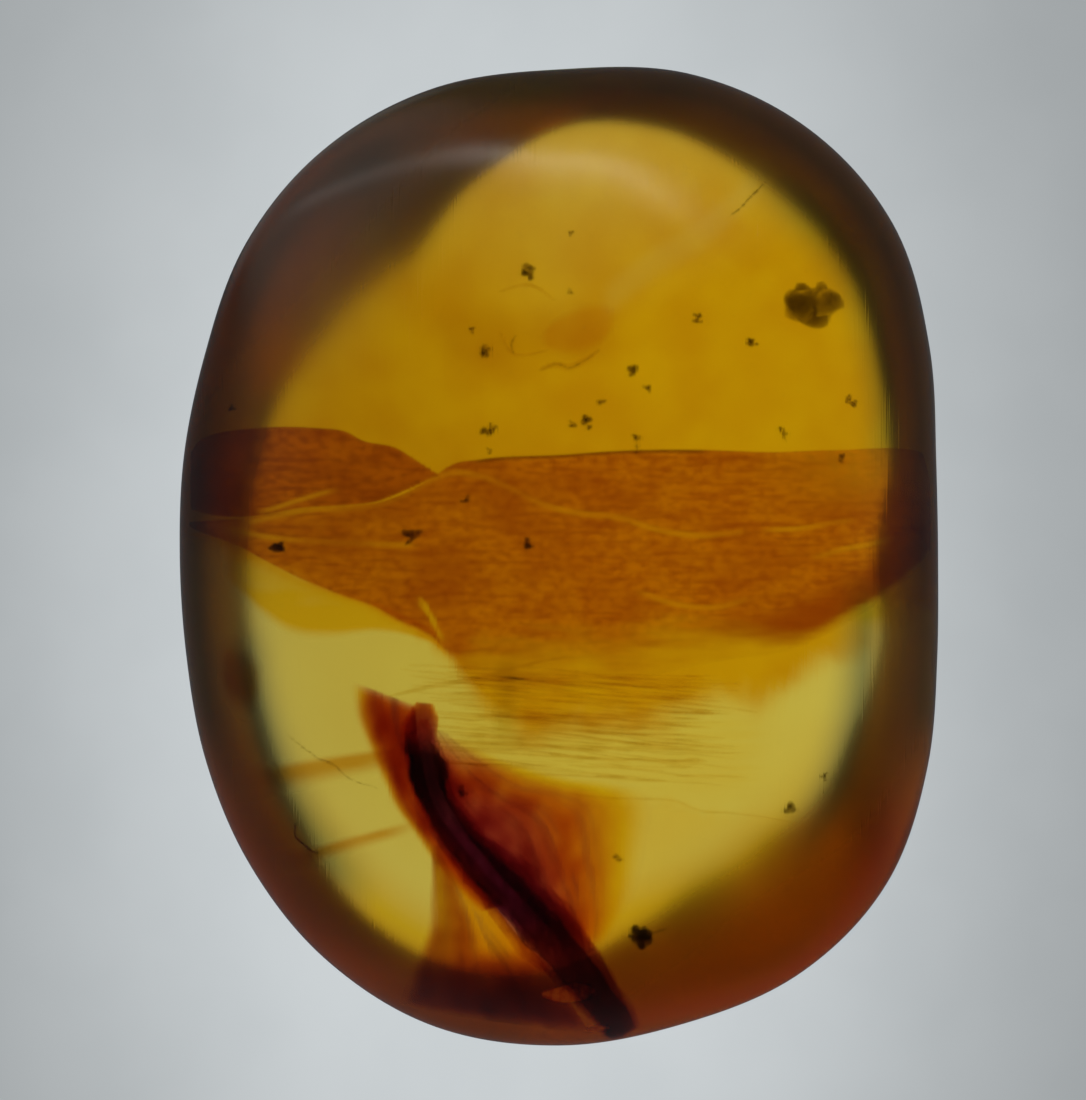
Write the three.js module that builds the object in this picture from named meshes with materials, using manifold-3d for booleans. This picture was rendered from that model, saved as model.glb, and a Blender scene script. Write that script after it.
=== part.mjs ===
// A plant sealed in a polished piece of amber, in millimetres, +Z up.
// The stone lies on its flat ground back, with the domed face up: X runs across it and Y along it.
// The origin is the middle of the footprint, on the surface that the stone rests on.
import * as THREE from "three";
import { mergeVertices } from "three/addons/utils/BufferGeometryUtils.js";
import Module from "manifold-3d";

const manifold = await Module();
manifold.setup();

// ---- Driving dimensions ----

// The stone's outline seen from above: its radius every 15 degrees, anticlockwise from +X.
const EDGE_RADII = [
  10.82, 11.15, 12.2, 13.48, 14.17, 14.28, 13.84, 13.66,
  13.18, 12.45, 11.57, 11.08, 10.85, 11.04, 11.67, 12.49,
  13.31, 13.86, 13.86, 13.58, 13.44, 12.96, 12.0, 11.14,
];
// How far the bevel reaches from the edge in to the flat back, at the same angles.
const BEVEL_WIDTHS = [
  3.54, 3.1, 3.43, 3.66, 3.82, 3.2, 2.82, 4.2,
  5.71, 5.55, 4.25, 4.22, 4.19, 3.86, 3.69, 3.53,
  3.36, 3.32, 3.56, 4.54, 5.53, 4.44, 3.88, 3.34,
];
const STONE_HEIGHT = 7.6;
const EDGE_HEIGHT = 3.4; // the widest line of the stone, above the surface that it rests on
const EDGE_RISE = 2.0; // how much higher that line runs at the two broad bevels
const RISE_BEARING = THREE.MathUtils.degToRad(123); // one broad bevel, and the other is opposite
const RISE_FOCUS = 6; // a higher power makes the two rises shorter
const BEVEL_CURVE = 1.12; // 1 is a straight bevel, 2 a quarter of an ellipse
const FILLET = 0.95; // the distance over which the flat back turns into the bevel
const FILLET_ON_RISE = 0.35; // added to it for each millimetre that the edge rises
const FILLET_AT_LEFT = 0.5; // added to it at the left
const LEFT_BEARING = THREE.MathUtils.degToRad(170);
const DOME_CURVE = 2.4; // 2 is an ellipse, and more is a fuller dome

const PARTING_HEIGHT = 4.4; // the plane on which the two halves of the amber meet
const CLEARANCE = 0.3; // from each inclusion to the wall of its pocket

// The leaf, as the outline of its blade, from its upper left corner clockwise.
const LEAF_THICKNESS = 0.4;
const LEAF_OUTLINE = [
  [-9.75, 3.3], [-8.95, 3.55], [-7.55, 3.65], [-6.35, 3.6], [-5.3, 3.3], [-4.45, 3.1], [-3.9, 2.7],
  [-3.35, 2.3], [-2.85, 2.65], [-1.65, 2.75], [0.0, 2.8], [2.2, 2.95], [5.7, 2.95], [8.7, 3.1],
  [9.4, 2.9], [9.45, 0.6], [9.2, -0.8], [8.4, -1.35], [7.0, -1.95], [5.95, -2.35], [4.75, -2.5],
  [3.55, -2.75], [1.1, -3.2], [-0.55, -3.4], [-2.45, -3.4], [-2.75, -3.05], [-3.5, -2.3],
  [-4.35, -1.8], [-7.0, -0.6], [-8.05, -0.05], [-9.65, 0.8],
];

// The stem, from its pointed top to its foot near the edge of the stone: x, y and radius.
const STEM_LINE = [
  [-3.7, -4.1, 0.15], [-3.7, -4.6, 0.4], [-3.65, -5.3, 0.5], [-3.55, -6.1, 0.42],
  [-3.4, -6.65, 0.38], [-3.05, -7.35, 0.45], [-2.4, -8.1, 0.5], [-1.6, -9.0, 0.6],
  [-0.65, -10.0, 0.65], [0.2, -10.95, 0.6], [0.9, -11.85, 0.55], [1.25, -12.3, 0.5],
];
const STEM_SIDES = 12;

// The three bracts, as outlines of their blades.
const BRACT_THICKNESS = 0.35;
const BRACT_LEFT_OUTLINE = [
  [-5.5, -3.65], [-5.0, -3.85], [-4.55, -4.2], [-4.45, -4.9], [-4.5, -5.5], [-4.3, -6.2],
  [-4.1, -6.85], [-3.8, -7.65], [-4.1, -7.3], [-4.5, -6.7], [-4.8, -6.05], [-5.1, -5.4], [-5.4, -4.6],
];
const BRACT_RIGHT_OUTLINE = [
  [-2.8, -5.4], [-1.9, -6.0], [-0.8, -6.35], [0.3, -6.5], [1.3, -6.7], [1.65, -7.5], [1.75, -8.3],
  [1.55, -9.15], [1.15, -9.85], [0.9, -10.1], [0.1, -9.35], [-0.9, -8.35], [-1.75, -7.5],
  [-2.4, -6.85], [-2.7, -6.3],
];
const BRACT_BASE_OUTLINE = [
  [-3.4, -8.35], [-3.05, -8.75], [-2.45, -9.45], [-2.2, -10.1],
  [-2.1, -11.1], [-3.25, -11.15], [-3.3, -10.25], [-3.3, -9.3],
];

// Grains of debris: x, y and radius.
const SPECKS = [
  [6.8, 6.95, 0.6], [-0.95, 7.85, 0.22], [-2.1, 5.65, 0.18], [2.05, 5.15, 0.18],
  [0.75, 3.75, 0.2], [-1.95, 3.5, 0.2], [5.2, 5.9, 0.16], [6.25, -6.9, 0.17],
  [2.3, -10.45, 0.3], [7.9, 4.35, 0.15], [3.75, 6.55, 0.15],
];

// ---- Smoothness of the faceted solids ----
const STEPS_ROUND = 72;
const BEVEL_STEPS = 8;
const DOME_STEPS = 11;

// ---- Materials ----
const amberMaterial = () => new THREE.MeshStandardMaterial({
  color: 0xc8860d, roughness: 0.1, metalness: 0, transparent: true, opacity: 0.35,
});
const leafMaterial = () => new THREE.MeshStandardMaterial({ color: 0x96500a, roughness: 0.6, metalness: 0 });
const stemMaterial = () => new THREE.MeshStandardMaterial({ color: 0x1c0805, roughness: 0.7, metalness: 0 });
const bractMaterial = () => new THREE.MeshStandardMaterial({ color: 0x7c2005, roughness: 0.6, metalness: 0 });
const speckMaterial = () => new THREE.MeshStandardMaterial({ color: 0x3a2408, roughness: 0.8, metalness: 0 });

// ---- Between three.js geometry and manifold solids ----
function toSolid(geometry) {
  geometry.deleteAttribute("normal");
  geometry.deleteAttribute("uv");
  const merged = mergeVertices(geometry);
  return new manifold.Manifold(new manifold.Mesh({
    numProp: 3,
    vertProperties: new Float32Array(merged.attributes.position.array),
    triVerts: new Uint32Array(merged.index.array),
  }));
}

function toGeometry(solid) {
  const mesh = solid.getMesh();
  const geometry = new THREE.BufferGeometry();
  geometry.setAttribute("position", new THREE.BufferAttribute(mesh.vertProperties, 3));
  geometry.setIndex(new THREE.BufferAttribute(mesh.triVerts, 1));
  return geometry;
}

// A closed skin over rings of points, with one point at each end.
function skin(rings, firstPoint, lastPoint) {
  const count = rings[0].length;
  const points = [firstPoint, ...rings.flat(), lastPoint];
  const last = points.length - 1;
  const faces = [];
  for (let i = 0; i < count; i += 1) {
    const next = (i + 1) % count;
    faces.push(0, 1 + next, 1 + i);
    for (let ring = 0; ring < rings.length - 1; ring += 1) {
      const low = 1 + ring * count;
      const high = low + count;
      faces.push(low + i, low + next, high + next);
      faces.push(low + i, high + next, high + i);
    }
    faces.push(last, last - count + i, last - count + next);
  }
  const geometry = new THREE.BufferGeometry();
  geometry.setAttribute("position", new THREE.Float32BufferAttribute(points.flat(), 3));
  geometry.setIndex(faces);
  return geometry;
}

// ---- The stone ----

// The value at an angle, on a smooth closed curve through a table of values.
function roundTable(table, angle) {
  const count = table.length;
  const place = (angle / (2 * Math.PI)) * count;
  const before = Math.floor(place);
  const t = place - before;
  const [a, b, c, d] = [-1, 0, 1, 2].map((step) => table[(before + step + count) % count]);
  const slope = c - a;
  const bend = 2 * a - 5 * b + 4 * c - d;
  const turn = 3 * b - a - 3 * c + d;
  return b + 0.5 * (slope * t + bend * t ** 2 + turn * t ** 3);
}

const edgeRadius = (angle) => roundTable(EDGE_RADII, angle);
const bevelWidth = (angle) => roundTable(BEVEL_WIDTHS, angle);
const rise = (angle) => EDGE_RISE * Math.abs(Math.cos(angle - RISE_BEARING)) ** RISE_FOCUS;
const edgeHeight = (angle) => EDGE_HEIGHT + rise(angle);

// The share of the bevel's height that is reached at a share of its width. The slope grows slowly
// over the fillet, so no corner parts the flat back from the bevel.
function bevelClimb(angle, out) {
  const left = Math.max(0, Math.cos(angle - LEFT_BEARING)) ** 4;
  const fillet = (FILLET + FILLET_ON_RISE * rise(angle) + FILLET_AT_LEFT * left) / bevelWidth(angle);
  const gained = (share) => share - fillet * (1 - Math.exp(-share / fillet));
  return 1 - Math.max(0, 1 - gained(out) / gained(1)) ** (1 / BEVEL_CURVE);
}

function stoneRing(radiusAt, heightAt) {
  return Array.from({ length: STEPS_ROUND }, (_, i) => {
    const angle = (2 * Math.PI * i) / STEPS_ROUND;
    const radius = radiusAt(angle);
    return [radius * Math.cos(angle), radius * Math.sin(angle), heightAt(angle)];
  });
}

function stone() {
  const rings = [];
  for (let step = 0; step <= BEVEL_STEPS; step += 1) {
    const out = Math.sin((Math.PI / 2) * (step / BEVEL_STEPS));
    rings.push(stoneRing(
      (angle) => edgeRadius(angle) - bevelWidth(angle) * (1 - out),
      (angle) => edgeHeight(angle) * bevelClimb(angle, out),
    ));
  }
  for (let step = 1; step < DOME_STEPS; step += 1) {
    const turn = (Math.PI / 2) * (step / DOME_STEPS);
    const out = Math.cos(turn) ** (2 / DOME_CURVE);
    rings.push(stoneRing(
      (angle) => edgeRadius(angle) * out,
      (angle) => edgeHeight(angle) + (STONE_HEIGHT - edgeHeight(angle)) * Math.sin(turn),
    ));
  }
  return toSolid(skin(rings, [0, 0, 0], [0, 0, STONE_HEIGHT]));
}

// ---- Inclusions, each made again a little larger for its pocket ----

// The outline moved outward by a distance, each corner along the line between its two sides' normals.
function spread(outline, distance) {
  return outline.map(([x, y], i) => {
    const [x0, y0] = outline.at(i - 1);
    const [x1, y1] = outline[(i + 1) % outline.length];
    const normal = new THREE.Vector2(y0 - y1, x1 - x0).normalize();
    return [x + normal.x * distance, y + normal.y * distance];
  });
}

// A flat blade centred on the parting plane. Its outline runs clockwise.
function blade(outline, thickness, margin = 0) {
  const shape = new THREE.Shape(spread(outline, margin).map(([x, y]) => new THREE.Vector2(x, y)));
  const depth = thickness + 2 * margin;
  const geometry = new THREE.ExtrudeGeometry(shape, { depth, bevelEnabled: false });
  geometry.translate(0, 0, PARTING_HEIGHT - depth / 2);
  return toSolid(geometry);
}

// A round limb along STEM_LINE, lying in the parting plane.
function stem(margin = 0) {
  const centres = STEM_LINE.map(([x, y]) => new THREE.Vector2(x, y));
  const rings = centres.map((centre, i) => {
    const before = centres[Math.max(i - 1, 0)];
    const after = centres[Math.min(i + 1, centres.length - 1)];
    const along = after.clone().sub(before).normalize();
    const radius = STEM_LINE[i][2] + margin;
    return Array.from({ length: STEM_SIDES }, (_, side) => {
      const turn = (2 * Math.PI * side) / STEM_SIDES;
      const across = radius * Math.cos(turn);
      return [
        centre.x - along.y * across,
        centre.y + along.x * across,
        PARTING_HEIGHT + radius * Math.sin(turn),
      ];
    });
  });
  const cap = (from, to) => {
    const point = from.clone().add(from.clone().sub(to).setLength(margin));
    return [point.x, point.y, PARTING_HEIGHT];
  };
  return toSolid(skin(rings, cap(centres[0], centres[1]), cap(centres.at(-1), centres.at(-2))));
}

function speck([x, y, radius], margin = 0) {
  const geometry = new THREE.IcosahedronGeometry(radius + margin, 1);
  geometry.translate(x, y, PARTING_HEIGHT);
  return toSolid(geometry);
}

const inclusions = [
  ["leaf_blade", leafMaterial, (margin) => blade(LEAF_OUTLINE, LEAF_THICKNESS, margin)],
  ["twig_stem", stemMaterial, (margin) => stem(margin)],
  ["bract_left", bractMaterial, (margin) => blade(BRACT_LEFT_OUTLINE, BRACT_THICKNESS, margin)],
  ["bract_right", bractMaterial, (margin) => blade(BRACT_RIGHT_OUTLINE, BRACT_THICKNESS, margin)],
  ["bract_base", bractMaterial, (margin) => blade(BRACT_BASE_OUTLINE, BRACT_THICKNESS, margin)],
  ...SPECKS.map((place, i) => [`speck_${i + 1}`, speckMaterial, (margin) => speck(place, margin)]),
];

// ---- The amber, parted in two round the pockets ----
function amberHalf(bottom, top) {
  const span = 4 * STONE_HEIGHT;
  const slab = new THREE.BoxGeometry(span, span, top - bottom);
  slab.translate(0, 0, (top + bottom) / 2);
  let half = stone().intersect(toSolid(slab));
  for (const [, , make] of inclusions) {
    half = half.subtract(make(CLEARANCE));
  }
  return half;
}

// ---- The whole ----
const amber_with_plant = new THREE.Group();

function addPiece(name, material, solid) {
  const mesh = new THREE.Mesh(toGeometry(solid), material);
  mesh.name = name;
  amber_with_plant.add(mesh);
}

addPiece("amber_upper", amberMaterial(), amberHalf(PARTING_HEIGHT, 2 * STONE_HEIGHT));
addPiece("amber_lower", amberMaterial(), amberHalf(-STONE_HEIGHT, PARTING_HEIGHT));
for (const [name, material, make] of inclusions) {
  addPiece(name, material(), make(0));
}

export default amber_with_plant;
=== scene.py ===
# %% [markdown]
# # A plant sealed in amber
# The object is one polished, domed piece of fossil resin, about as long as a thumb joint. A brown leaf
# blade crosses it, a dark stem with reddish bracts stands below the leaf, and grains of debris float round
# them. It lies on its flat back and is seen by light that comes up through it, which is what makes resin
# glow.
#
# Each step below explains one piece or one finish before the code that makes it. Shapes are worked out in
# millimetres and turned into metres only where a mesh is made.

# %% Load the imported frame
import math
import random

import bmesh
import bpy
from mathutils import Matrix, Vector, noise


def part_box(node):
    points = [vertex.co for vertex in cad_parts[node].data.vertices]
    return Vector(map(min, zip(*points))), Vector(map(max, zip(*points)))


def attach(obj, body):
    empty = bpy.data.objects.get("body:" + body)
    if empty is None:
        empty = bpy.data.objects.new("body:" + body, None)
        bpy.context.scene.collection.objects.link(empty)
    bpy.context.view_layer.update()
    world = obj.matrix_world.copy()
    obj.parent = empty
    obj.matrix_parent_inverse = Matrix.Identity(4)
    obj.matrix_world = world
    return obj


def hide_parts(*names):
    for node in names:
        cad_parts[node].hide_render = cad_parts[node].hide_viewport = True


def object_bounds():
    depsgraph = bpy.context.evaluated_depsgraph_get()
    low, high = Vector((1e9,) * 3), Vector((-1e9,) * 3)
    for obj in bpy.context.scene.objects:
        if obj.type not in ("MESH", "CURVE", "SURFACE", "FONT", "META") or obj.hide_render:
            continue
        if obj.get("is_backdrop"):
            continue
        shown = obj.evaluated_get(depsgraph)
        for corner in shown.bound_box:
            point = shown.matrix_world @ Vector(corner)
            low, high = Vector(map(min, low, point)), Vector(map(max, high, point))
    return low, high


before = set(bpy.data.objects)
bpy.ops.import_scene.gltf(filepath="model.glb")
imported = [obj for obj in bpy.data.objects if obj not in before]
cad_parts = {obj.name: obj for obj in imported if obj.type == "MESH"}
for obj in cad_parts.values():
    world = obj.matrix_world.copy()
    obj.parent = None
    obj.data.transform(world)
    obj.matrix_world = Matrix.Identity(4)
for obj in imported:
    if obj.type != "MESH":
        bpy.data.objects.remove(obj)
cad_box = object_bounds()
MM = 0.001
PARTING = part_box("amber_lower")[1][2] / MM
STONE_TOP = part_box("amber_upper")[1][2] / MM
print("the stone is", round(STONE_TOP, 2), "mm high, and its inclusions lie", round(PARTING, 2), "mm up")

# %% [markdown]
# ## Small helpers
# A mesh is a list of points and a list of faces that name those points by number. Every piece here is made
# that way, so one helper turns the lists into an object. Objects stay at the origin, and their place is in
# the mesh. A thin piece also says for each point how far along and how far across it lies, as two shares
# from 0 to 1.

# %% Make a piece from points and faces
def make_piece(name, finish, points, faces, shares=None):
    """A smooth-shaded mesh object at the origin, from points in millimetres. Shares are kept as a UV map."""
    mesh = bpy.data.meshes.new(name)
    mesh.from_pydata([Vector(point) * MM for point in points], [], faces)
    mesh.materials.append(finish)
    mesh.polygons.foreach_set("use_smooth", [True] * len(mesh.polygons))
    mesh.update()
    if shares:
        edges = mesh.uv_layers.new(name="edges")
        for loop in mesh.loops:
            edges.data[loop.index].uv = shares[loop.vertex_index]
    piece = bpy.data.objects.new(name, mesh)
    bpy.context.scene.collection.objects.link(piece)
    print(name, "has", len(mesh.polygons), "faces")
    return piece


def face_out(piece):
    """Turns a closed piece's faces so that they all point out."""
    made = bmesh.new()
    made.from_mesh(piece.data)
    bmesh.ops.recalc_face_normals(made, faces=made.faces)
    made.to_mesh(piece.data)
    made.free()


def seat(piece, slot, *nodes):
    """The piece rides on the stone's body and stands for CAD nodes. slot is not used."""
    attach(piece, "root")
    if nodes:
        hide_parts(*nodes)

# %% [markdown]
# Outlines are drawn with a few points, and a smooth curve is passed through them. The Catmull-Rom formula
# does that: between two points it also looks at the one before and the one after, so the curve has no
# corners.

# %% Smooth curves through a few points
def bend_through(a, b, c, d, t):
    """The value between b and c, at t from 0 to 1, on a smooth curve through a, b, c and d."""
    slope = c - a
    bend = 2 * a - 5 * b + 4 * c - d
    turn = 3 * b - a - 3 * c + d
    return b + 0.5 * (slope * t + bend * t**2 + turn * t**3)


def point_along(points, share):
    """The point at a share, from 0 to 1, of the way along an open smooth curve."""
    place = min(max(share, 0), 1) * (len(points) - 1)
    before = min(int(place), len(points) - 2)
    picked = [points[min(max(before + step, 0), len(points) - 1)] for step in (-1, 0, 1, 2)]
    return [bend_through(*values, place - before) for values in zip(*picked)]


def height_on(points, x):
    """The y at an x, on a smooth line drawn from left to right through points."""
    last = len(points) - 1
    x = min(max(x, points[0][0]), points[last][0])
    before = max(k for k in range(last) if points[k][0] <= x)
    (x0, y0), (x1, y1) = points[before], points[before + 1]
    rises = []
    for k in (before, before + 1):
        (xa, ya), (xb, yb) = points[max(k - 1, 0)], points[min(k + 1, last)]
        rises.append((yb - ya) / (xb - xa) * (x1 - x0))
    t = (x - x0) / (x1 - x0)
    from_start = y0 * (1 + 2 * t) * (1 - t) ** 2 + rises[0] * t * (1 - t) ** 2
    from_end = y1 * t * t * (3 - 2 * t) - rises[1] * t * t * (1 - t)
    return from_start + from_end


def rising(value, low, high):
    """0 below low, 1 above high, and a smooth step between."""
    t = min(max((value - low) / (high - low), 0), 1)
    return t * t * (3 - 2 * t)


def falling(value, low, high):
    """1 below low, 0 above high, and a smooth step between."""
    return 1 - rising(value, low, high)

# %% [markdown]
# ## Helpers for finishes
# A finish is a tree of shader nodes. Building it in code is wordy, so one helper adds a node, sets its
# options and fills its inputs, and short ones do what comes again and again: arithmetic, a smooth step, a
# mix of two colours, noise. A place on the stone is read from Object coordinates, which are metres, and
# turned into millimetres so that the numbers are easy to read.

# %% Add nodes to a finish
def fill(tree, node, inputs):
    """Fills a node's inputs. Each one is a plain value, or the output of another node."""
    for name, value in inputs.items():
        if isinstance(value, bpy.types.NodeSocket):
            tree.links.new(value, node.inputs[name])
        else:
            node.inputs[name].default_value = value


def add(tree, kind, inputs=None, **options):
    """A node of that kind, with its options set and its inputs filled."""
    made = tree.nodes.new(kind)
    for option, value in options.items():
        setattr(made, option, value)
    fill(tree, made, inputs or {})
    return made


def new_finish(name):
    """A new material, with its tree and its main shader."""
    finish = bpy.data.materials.new(name)
    finish.use_nodes = True
    return finish, finish.node_tree, finish.node_tree.nodes["Principled BSDF"]


def work_out(tree, operation, *values):
    """The result of a Math node."""
    return add(tree, "ShaderNodeMath", dict(enumerate(values)), operation=operation).outputs[0]


def times(tree, product, *others):
    """The product of some values."""
    for value in others:
        product = work_out(tree, "MULTIPLY", product, value)
    return product


def work_out_vector(tree, operation, *vectors):
    """The result of a Vector Math node: a vector, or a number where the operation gives one."""
    made = add(tree, "ShaderNodeVectorMath", dict(enumerate(vectors)), operation=operation)
    return [socket for socket in made.outputs if socket.enabled][0]


def scaled(tree, vector, factor):
    """A vector times a number."""
    return add(tree, "ShaderNodeVectorMath", {0: vector, "Scale": factor}, operation="SCALE").outputs[0]


def ramp(tree, value, low, high, start=0.0, end=1.0):
    """A smooth step of a value, from start at low to end at high."""
    inputs = {"Value": value, "From Min": low, "From Max": high, "To Min": start, "To Max": end}
    return add(tree, "ShaderNodeMapRange", inputs, interpolation_type="SMOOTHSTEP").outputs[0]


def ramp_down(tree, value, low, high):
    """A smooth step from 1 at low to 0 at high."""
    return ramp(tree, value, low, high, 1.0, 0.0)


def between(tree, value, start, full, fading, gone):
    """0 before start, 1 from full to fading, and 0 again after gone."""
    return times(tree, ramp(tree, value, start, full), ramp_down(tree, value, fading, gone))


def blend_colour(tree, amount, first, second):
    """Two colours mixed by an amount from 0 to 1."""
    inputs = {0: amount}
    for name, value in ((6, first), (7, second)):
        inputs[name] = value if isinstance(value, bpy.types.NodeSocket) else (*value, 1)
    return add(tree, "ShaderNodeMix", inputs, data_type="RGBA").outputs[2]


def lay_over(tree, colour, *marks):
    """A colour with marks laid over it in turn. Each mark is an amount and a colour of its own."""
    for amount, mark in marks:
        colour = blend_colour(tree, amount, colour, mark)
    return colour


def place_in_mm(tree):
    """The place on the object in millimetres: the vector, and its x, y and z."""
    place = scaled(tree, add(tree, "ShaderNodeTexCoord").outputs["Object"], 1 / MM)
    return place, *add(tree, "ShaderNodeSeparateXYZ", {0: place}).outputs


def read_shares(tree):
    """The UV map named edges: the pair of shares, and each of the two."""
    pair = add(tree, "ShaderNodeUVMap", uv_map="edges").outputs[0]
    first, second, _ = add(tree, "ShaderNodeSeparateXYZ", {0: pair}).outputs
    return pair, first, second


def cloud(tree, place, size, detail=2.0, stretch=(1, 1, 1), turn=0.0):
    """Noise from 0 to 1 whose lumps are about that many millimetres, stretched and turned in the plane."""
    scale = [1 / (size * part) for part in stretch]
    turned = add(tree, "ShaderNodeMapping", {"Vector": place, "Rotation": (0, 0, turn), "Scale": scale})
    made = add(tree, "ShaderNodeTexNoise", {"Vector": turned.outputs[0], "Scale": 1.0, "Detail": detail})
    return made.outputs[0]


def mottled(tree, place, size, low, high, first, second, **noise_options):
    """Two colours mixed by noise: the first where it is below low, and the second where it is above high."""
    return blend_colour(tree, ramp(tree, cloud(tree, place, size, **noise_options), low, high), first, second)

# %% [markdown]
# Many of the marks in resin and on the leaf are long, thin and nearly level: creases, flow lines, layer
# edges. A Float Curve node can hold such a line, because it gives one height for each place along the
# stone. The distance of a point from that height then says whether it lies on the line.

# %% Lines drawn inside a finish
HALF_SPAN = 16.0


def line_height(tree, x, points):
    """The height of a line at x, through points in millimetres."""
    along = work_out(tree, "MULTIPLY_ADD", x, 0.5 / HALF_SPAN, 0.5)
    made = add(tree, "ShaderNodeFloatCurve", {"Value": along})
    knots = made.mapping.curves[0].points
    shares = [(0.5 + px / (2 * HALF_SPAN), 0.5 + py / (2 * HALF_SPAN)) for px, py in points]
    knots[0].location = (0, shares[0][1])
    knots[1].location = (1, shares[-1][1])
    for knot in shares:
        knots.new(*knot)
    made.mapping.update()
    return work_out(tree, "MULTIPLY_ADD", made.outputs[0], 2 * HALF_SPAN, -HALF_SPAN)


def on_line(tree, x, y, points, width, soft=0.06, fade=0.5):
    """1 on a line of that width and 0 away from it. It fades out at its two ends."""
    away = work_out(tree, "ABSOLUTE", work_out(tree, "SUBTRACT", y, line_height(tree, x, points)))
    near = ramp_down(tree, away, width / 2, width / 2 + soft)
    first, last, half = points[0][0], points[-1][0], fade / 2
    return times(tree, near, between(tree, x, first - half, first + half, last - half, last + half))

# %% [markdown]
# ## A see-through body
# Resin is clear, and light that crosses it is bent at its surface and loses its blue on the way. Three
# plain values say so: transmission, an index of refraction, and an absorption for each colour. A plant that
# the resin has soaked has the resin's own index, so light isn't bent at it, and only its absorption shows:
# where it is thin it is orange, and where it is thick it is red and then black. That is how one value makes
# all its colours. A sheet or thread of one thickness needs no absorption: a tint on its surface does the
# same and costs less.

# %% A finish that light passes through
CLEAR = (1.0, 1.0, 1.0)
RESIN_INDEX = 1.54
SAME_AS_RESIN = 1.0
DENSITY_SPARE = 1.02


def see_through(name, index, absorbed=None):
    """A clear finish. absorbed is how much red, green and blue is lost in a millimetre (natural log)."""
    finish, tree, shader = new_finish(name)
    fill(tree, shader, {
        "Base Color": (*CLEAR, 1), "Transmission Weight": 1.0, "IOR": index, "Roughness": 0.0,
    })
    if absorbed:
        per_metre = [value / MM for value in absorbed]
        density = max(per_metre) * DENSITY_SPARE
        kept = [1 - value / density for value in per_metre]
        body = add(tree, "ShaderNodeVolumeAbsorption", {"Color": (*kept, 1), "Density": density})
        fill(tree, tree.nodes["Material Output"], {"Volume": body.outputs[0]})
    return finish, tree, shader

# %% [markdown]
# ## The resin
# The stone's edge is a closed curve, given by its radius every 15 degrees. Its back is ground flat, with a
# bevel all round that is broader at two opposite corners, and its face is a low dome. Such a shape could be
# sculpted, but a formula is better here: the same one gives the CAD solid, and the bevel's slope decides
# where light from below gets through and where it is thrown back inside, which makes the dark rim. A fillet
# leads from the flat back into the bevel, so the slope grows slowly there, and the dark rim begins softly.
# Painted shade in the resin's colour darkens the rim further and softens its inner edge.

# %% The stone's shape
EDGE_RADII = [
    10.82, 11.15, 12.2, 13.48, 14.17, 14.28, 13.84, 13.66, 13.18, 12.45, 11.57, 11.08,
    10.85, 11.04, 11.67, 12.49, 13.31, 13.86, 13.86, 13.58, 13.44, 12.96, 12.0, 11.14,
]
BEVEL_WIDTHS = [
    3.54, 3.1, 3.34, 3.63, 3.82, 3.2, 2.82, 4.2, 5.71, 5.55, 4.25, 4.22,
    4.19, 3.98, 3.96, 3.82, 3.36, 3.32, 3.56, 4.54, 5.53, 4.44, 3.88, 3.34,
]
EDGE_HEIGHT = 3.4
EDGE_RISE = 2.0
RISE_BEARING = math.radians(123)
RISE_FOCUS = 6
FILLET = 0.95
FILLET_ON_RISE = 0.35
FILLET_AT_LEFT = 0.5
LEFT_BEARING = math.radians(170)
LEFT_FOCUS = 4
BEVEL_CURVE = 1.12
DOME_CURVE = 2.4
WAVE_HEIGHT = 0.008
WAVE_LENGTH = 3.5


def round_table(table, angle):
    """The value at an angle, on a closed smooth curve through a table of values."""
    place = angle / (2 * math.pi) * len(table)
    before = math.floor(place)
    values = [table[(before + step) % len(table)] for step in (-1, 0, 1, 2)]
    return bend_through(*values, place - before)


def edge_height(angle):
    """The height of the stone's widest line, which rises at two opposite corners."""
    return EDGE_HEIGHT + EDGE_RISE * abs(math.cos(angle - RISE_BEARING)) ** RISE_FOCUS


def fillet_size(angle):
    """How far the flat back takes to turn into the bevel. It is longest at the two rises and at the left."""
    rise = edge_height(angle) - EDGE_HEIGHT
    left = max(0.0, math.cos(angle - LEFT_BEARING)) ** LEFT_FOCUS
    return FILLET + FILLET_ON_RISE * rise + FILLET_AT_LEFT * left


def bevel_point(angle, share):
    """A point of the bevel, from the flat back (share 0) out to the edge (share 1)."""
    width = round_table(BEVEL_WIDTHS, angle)
    fillet = fillet_size(angle) / width
    out = math.sin(math.pi / 2 * share)
    climb = (out - fillet * (1 - math.exp(-out / fillet))) / (1 - fillet * (1 - math.exp(-1 / fillet)))
    height = edge_height(angle) * (1 - max(0.0, 1 - climb) ** (1 / BEVEL_CURVE))
    radius = round_table(EDGE_RADII, angle) - width * (1 - out)
    return radius * math.cos(angle), radius * math.sin(angle), height


def back_point(angle, share):
    """A point of the flat back, from its middle (share 0) out to the bevel (share 1)."""
    radius = (round_table(EDGE_RADII, angle) - round_table(BEVEL_WIDTHS, angle)) * share
    return radius * math.cos(angle), radius * math.sin(angle), 0.0


def dome_point(angle, share):
    """A point of the dome, from the edge (share 0) up to the top (share 1), with slow waves in the polish."""
    turn = math.pi / 2 * share
    radius = round_table(EDGE_RADII, angle) * math.cos(turn) ** (2 / DOME_CURVE)
    x, y = radius * math.cos(angle), radius * math.sin(angle)
    wave = WAVE_HEIGHT * noise.noise((x / WAVE_LENGTH, y / WAVE_LENGTH, 0.7))
    height = edge_height(angle) + (STONE_TOP - edge_height(angle) + wave) * math.sin(turn)
    return x, y, height

# %% [markdown]
# The body is a skin over rings of points, closed by one point at each end. The steps are fine enough that
# the smooth shading has no facets to hide, since any facet would show twice: on the surface and in what
# lies behind.

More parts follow.
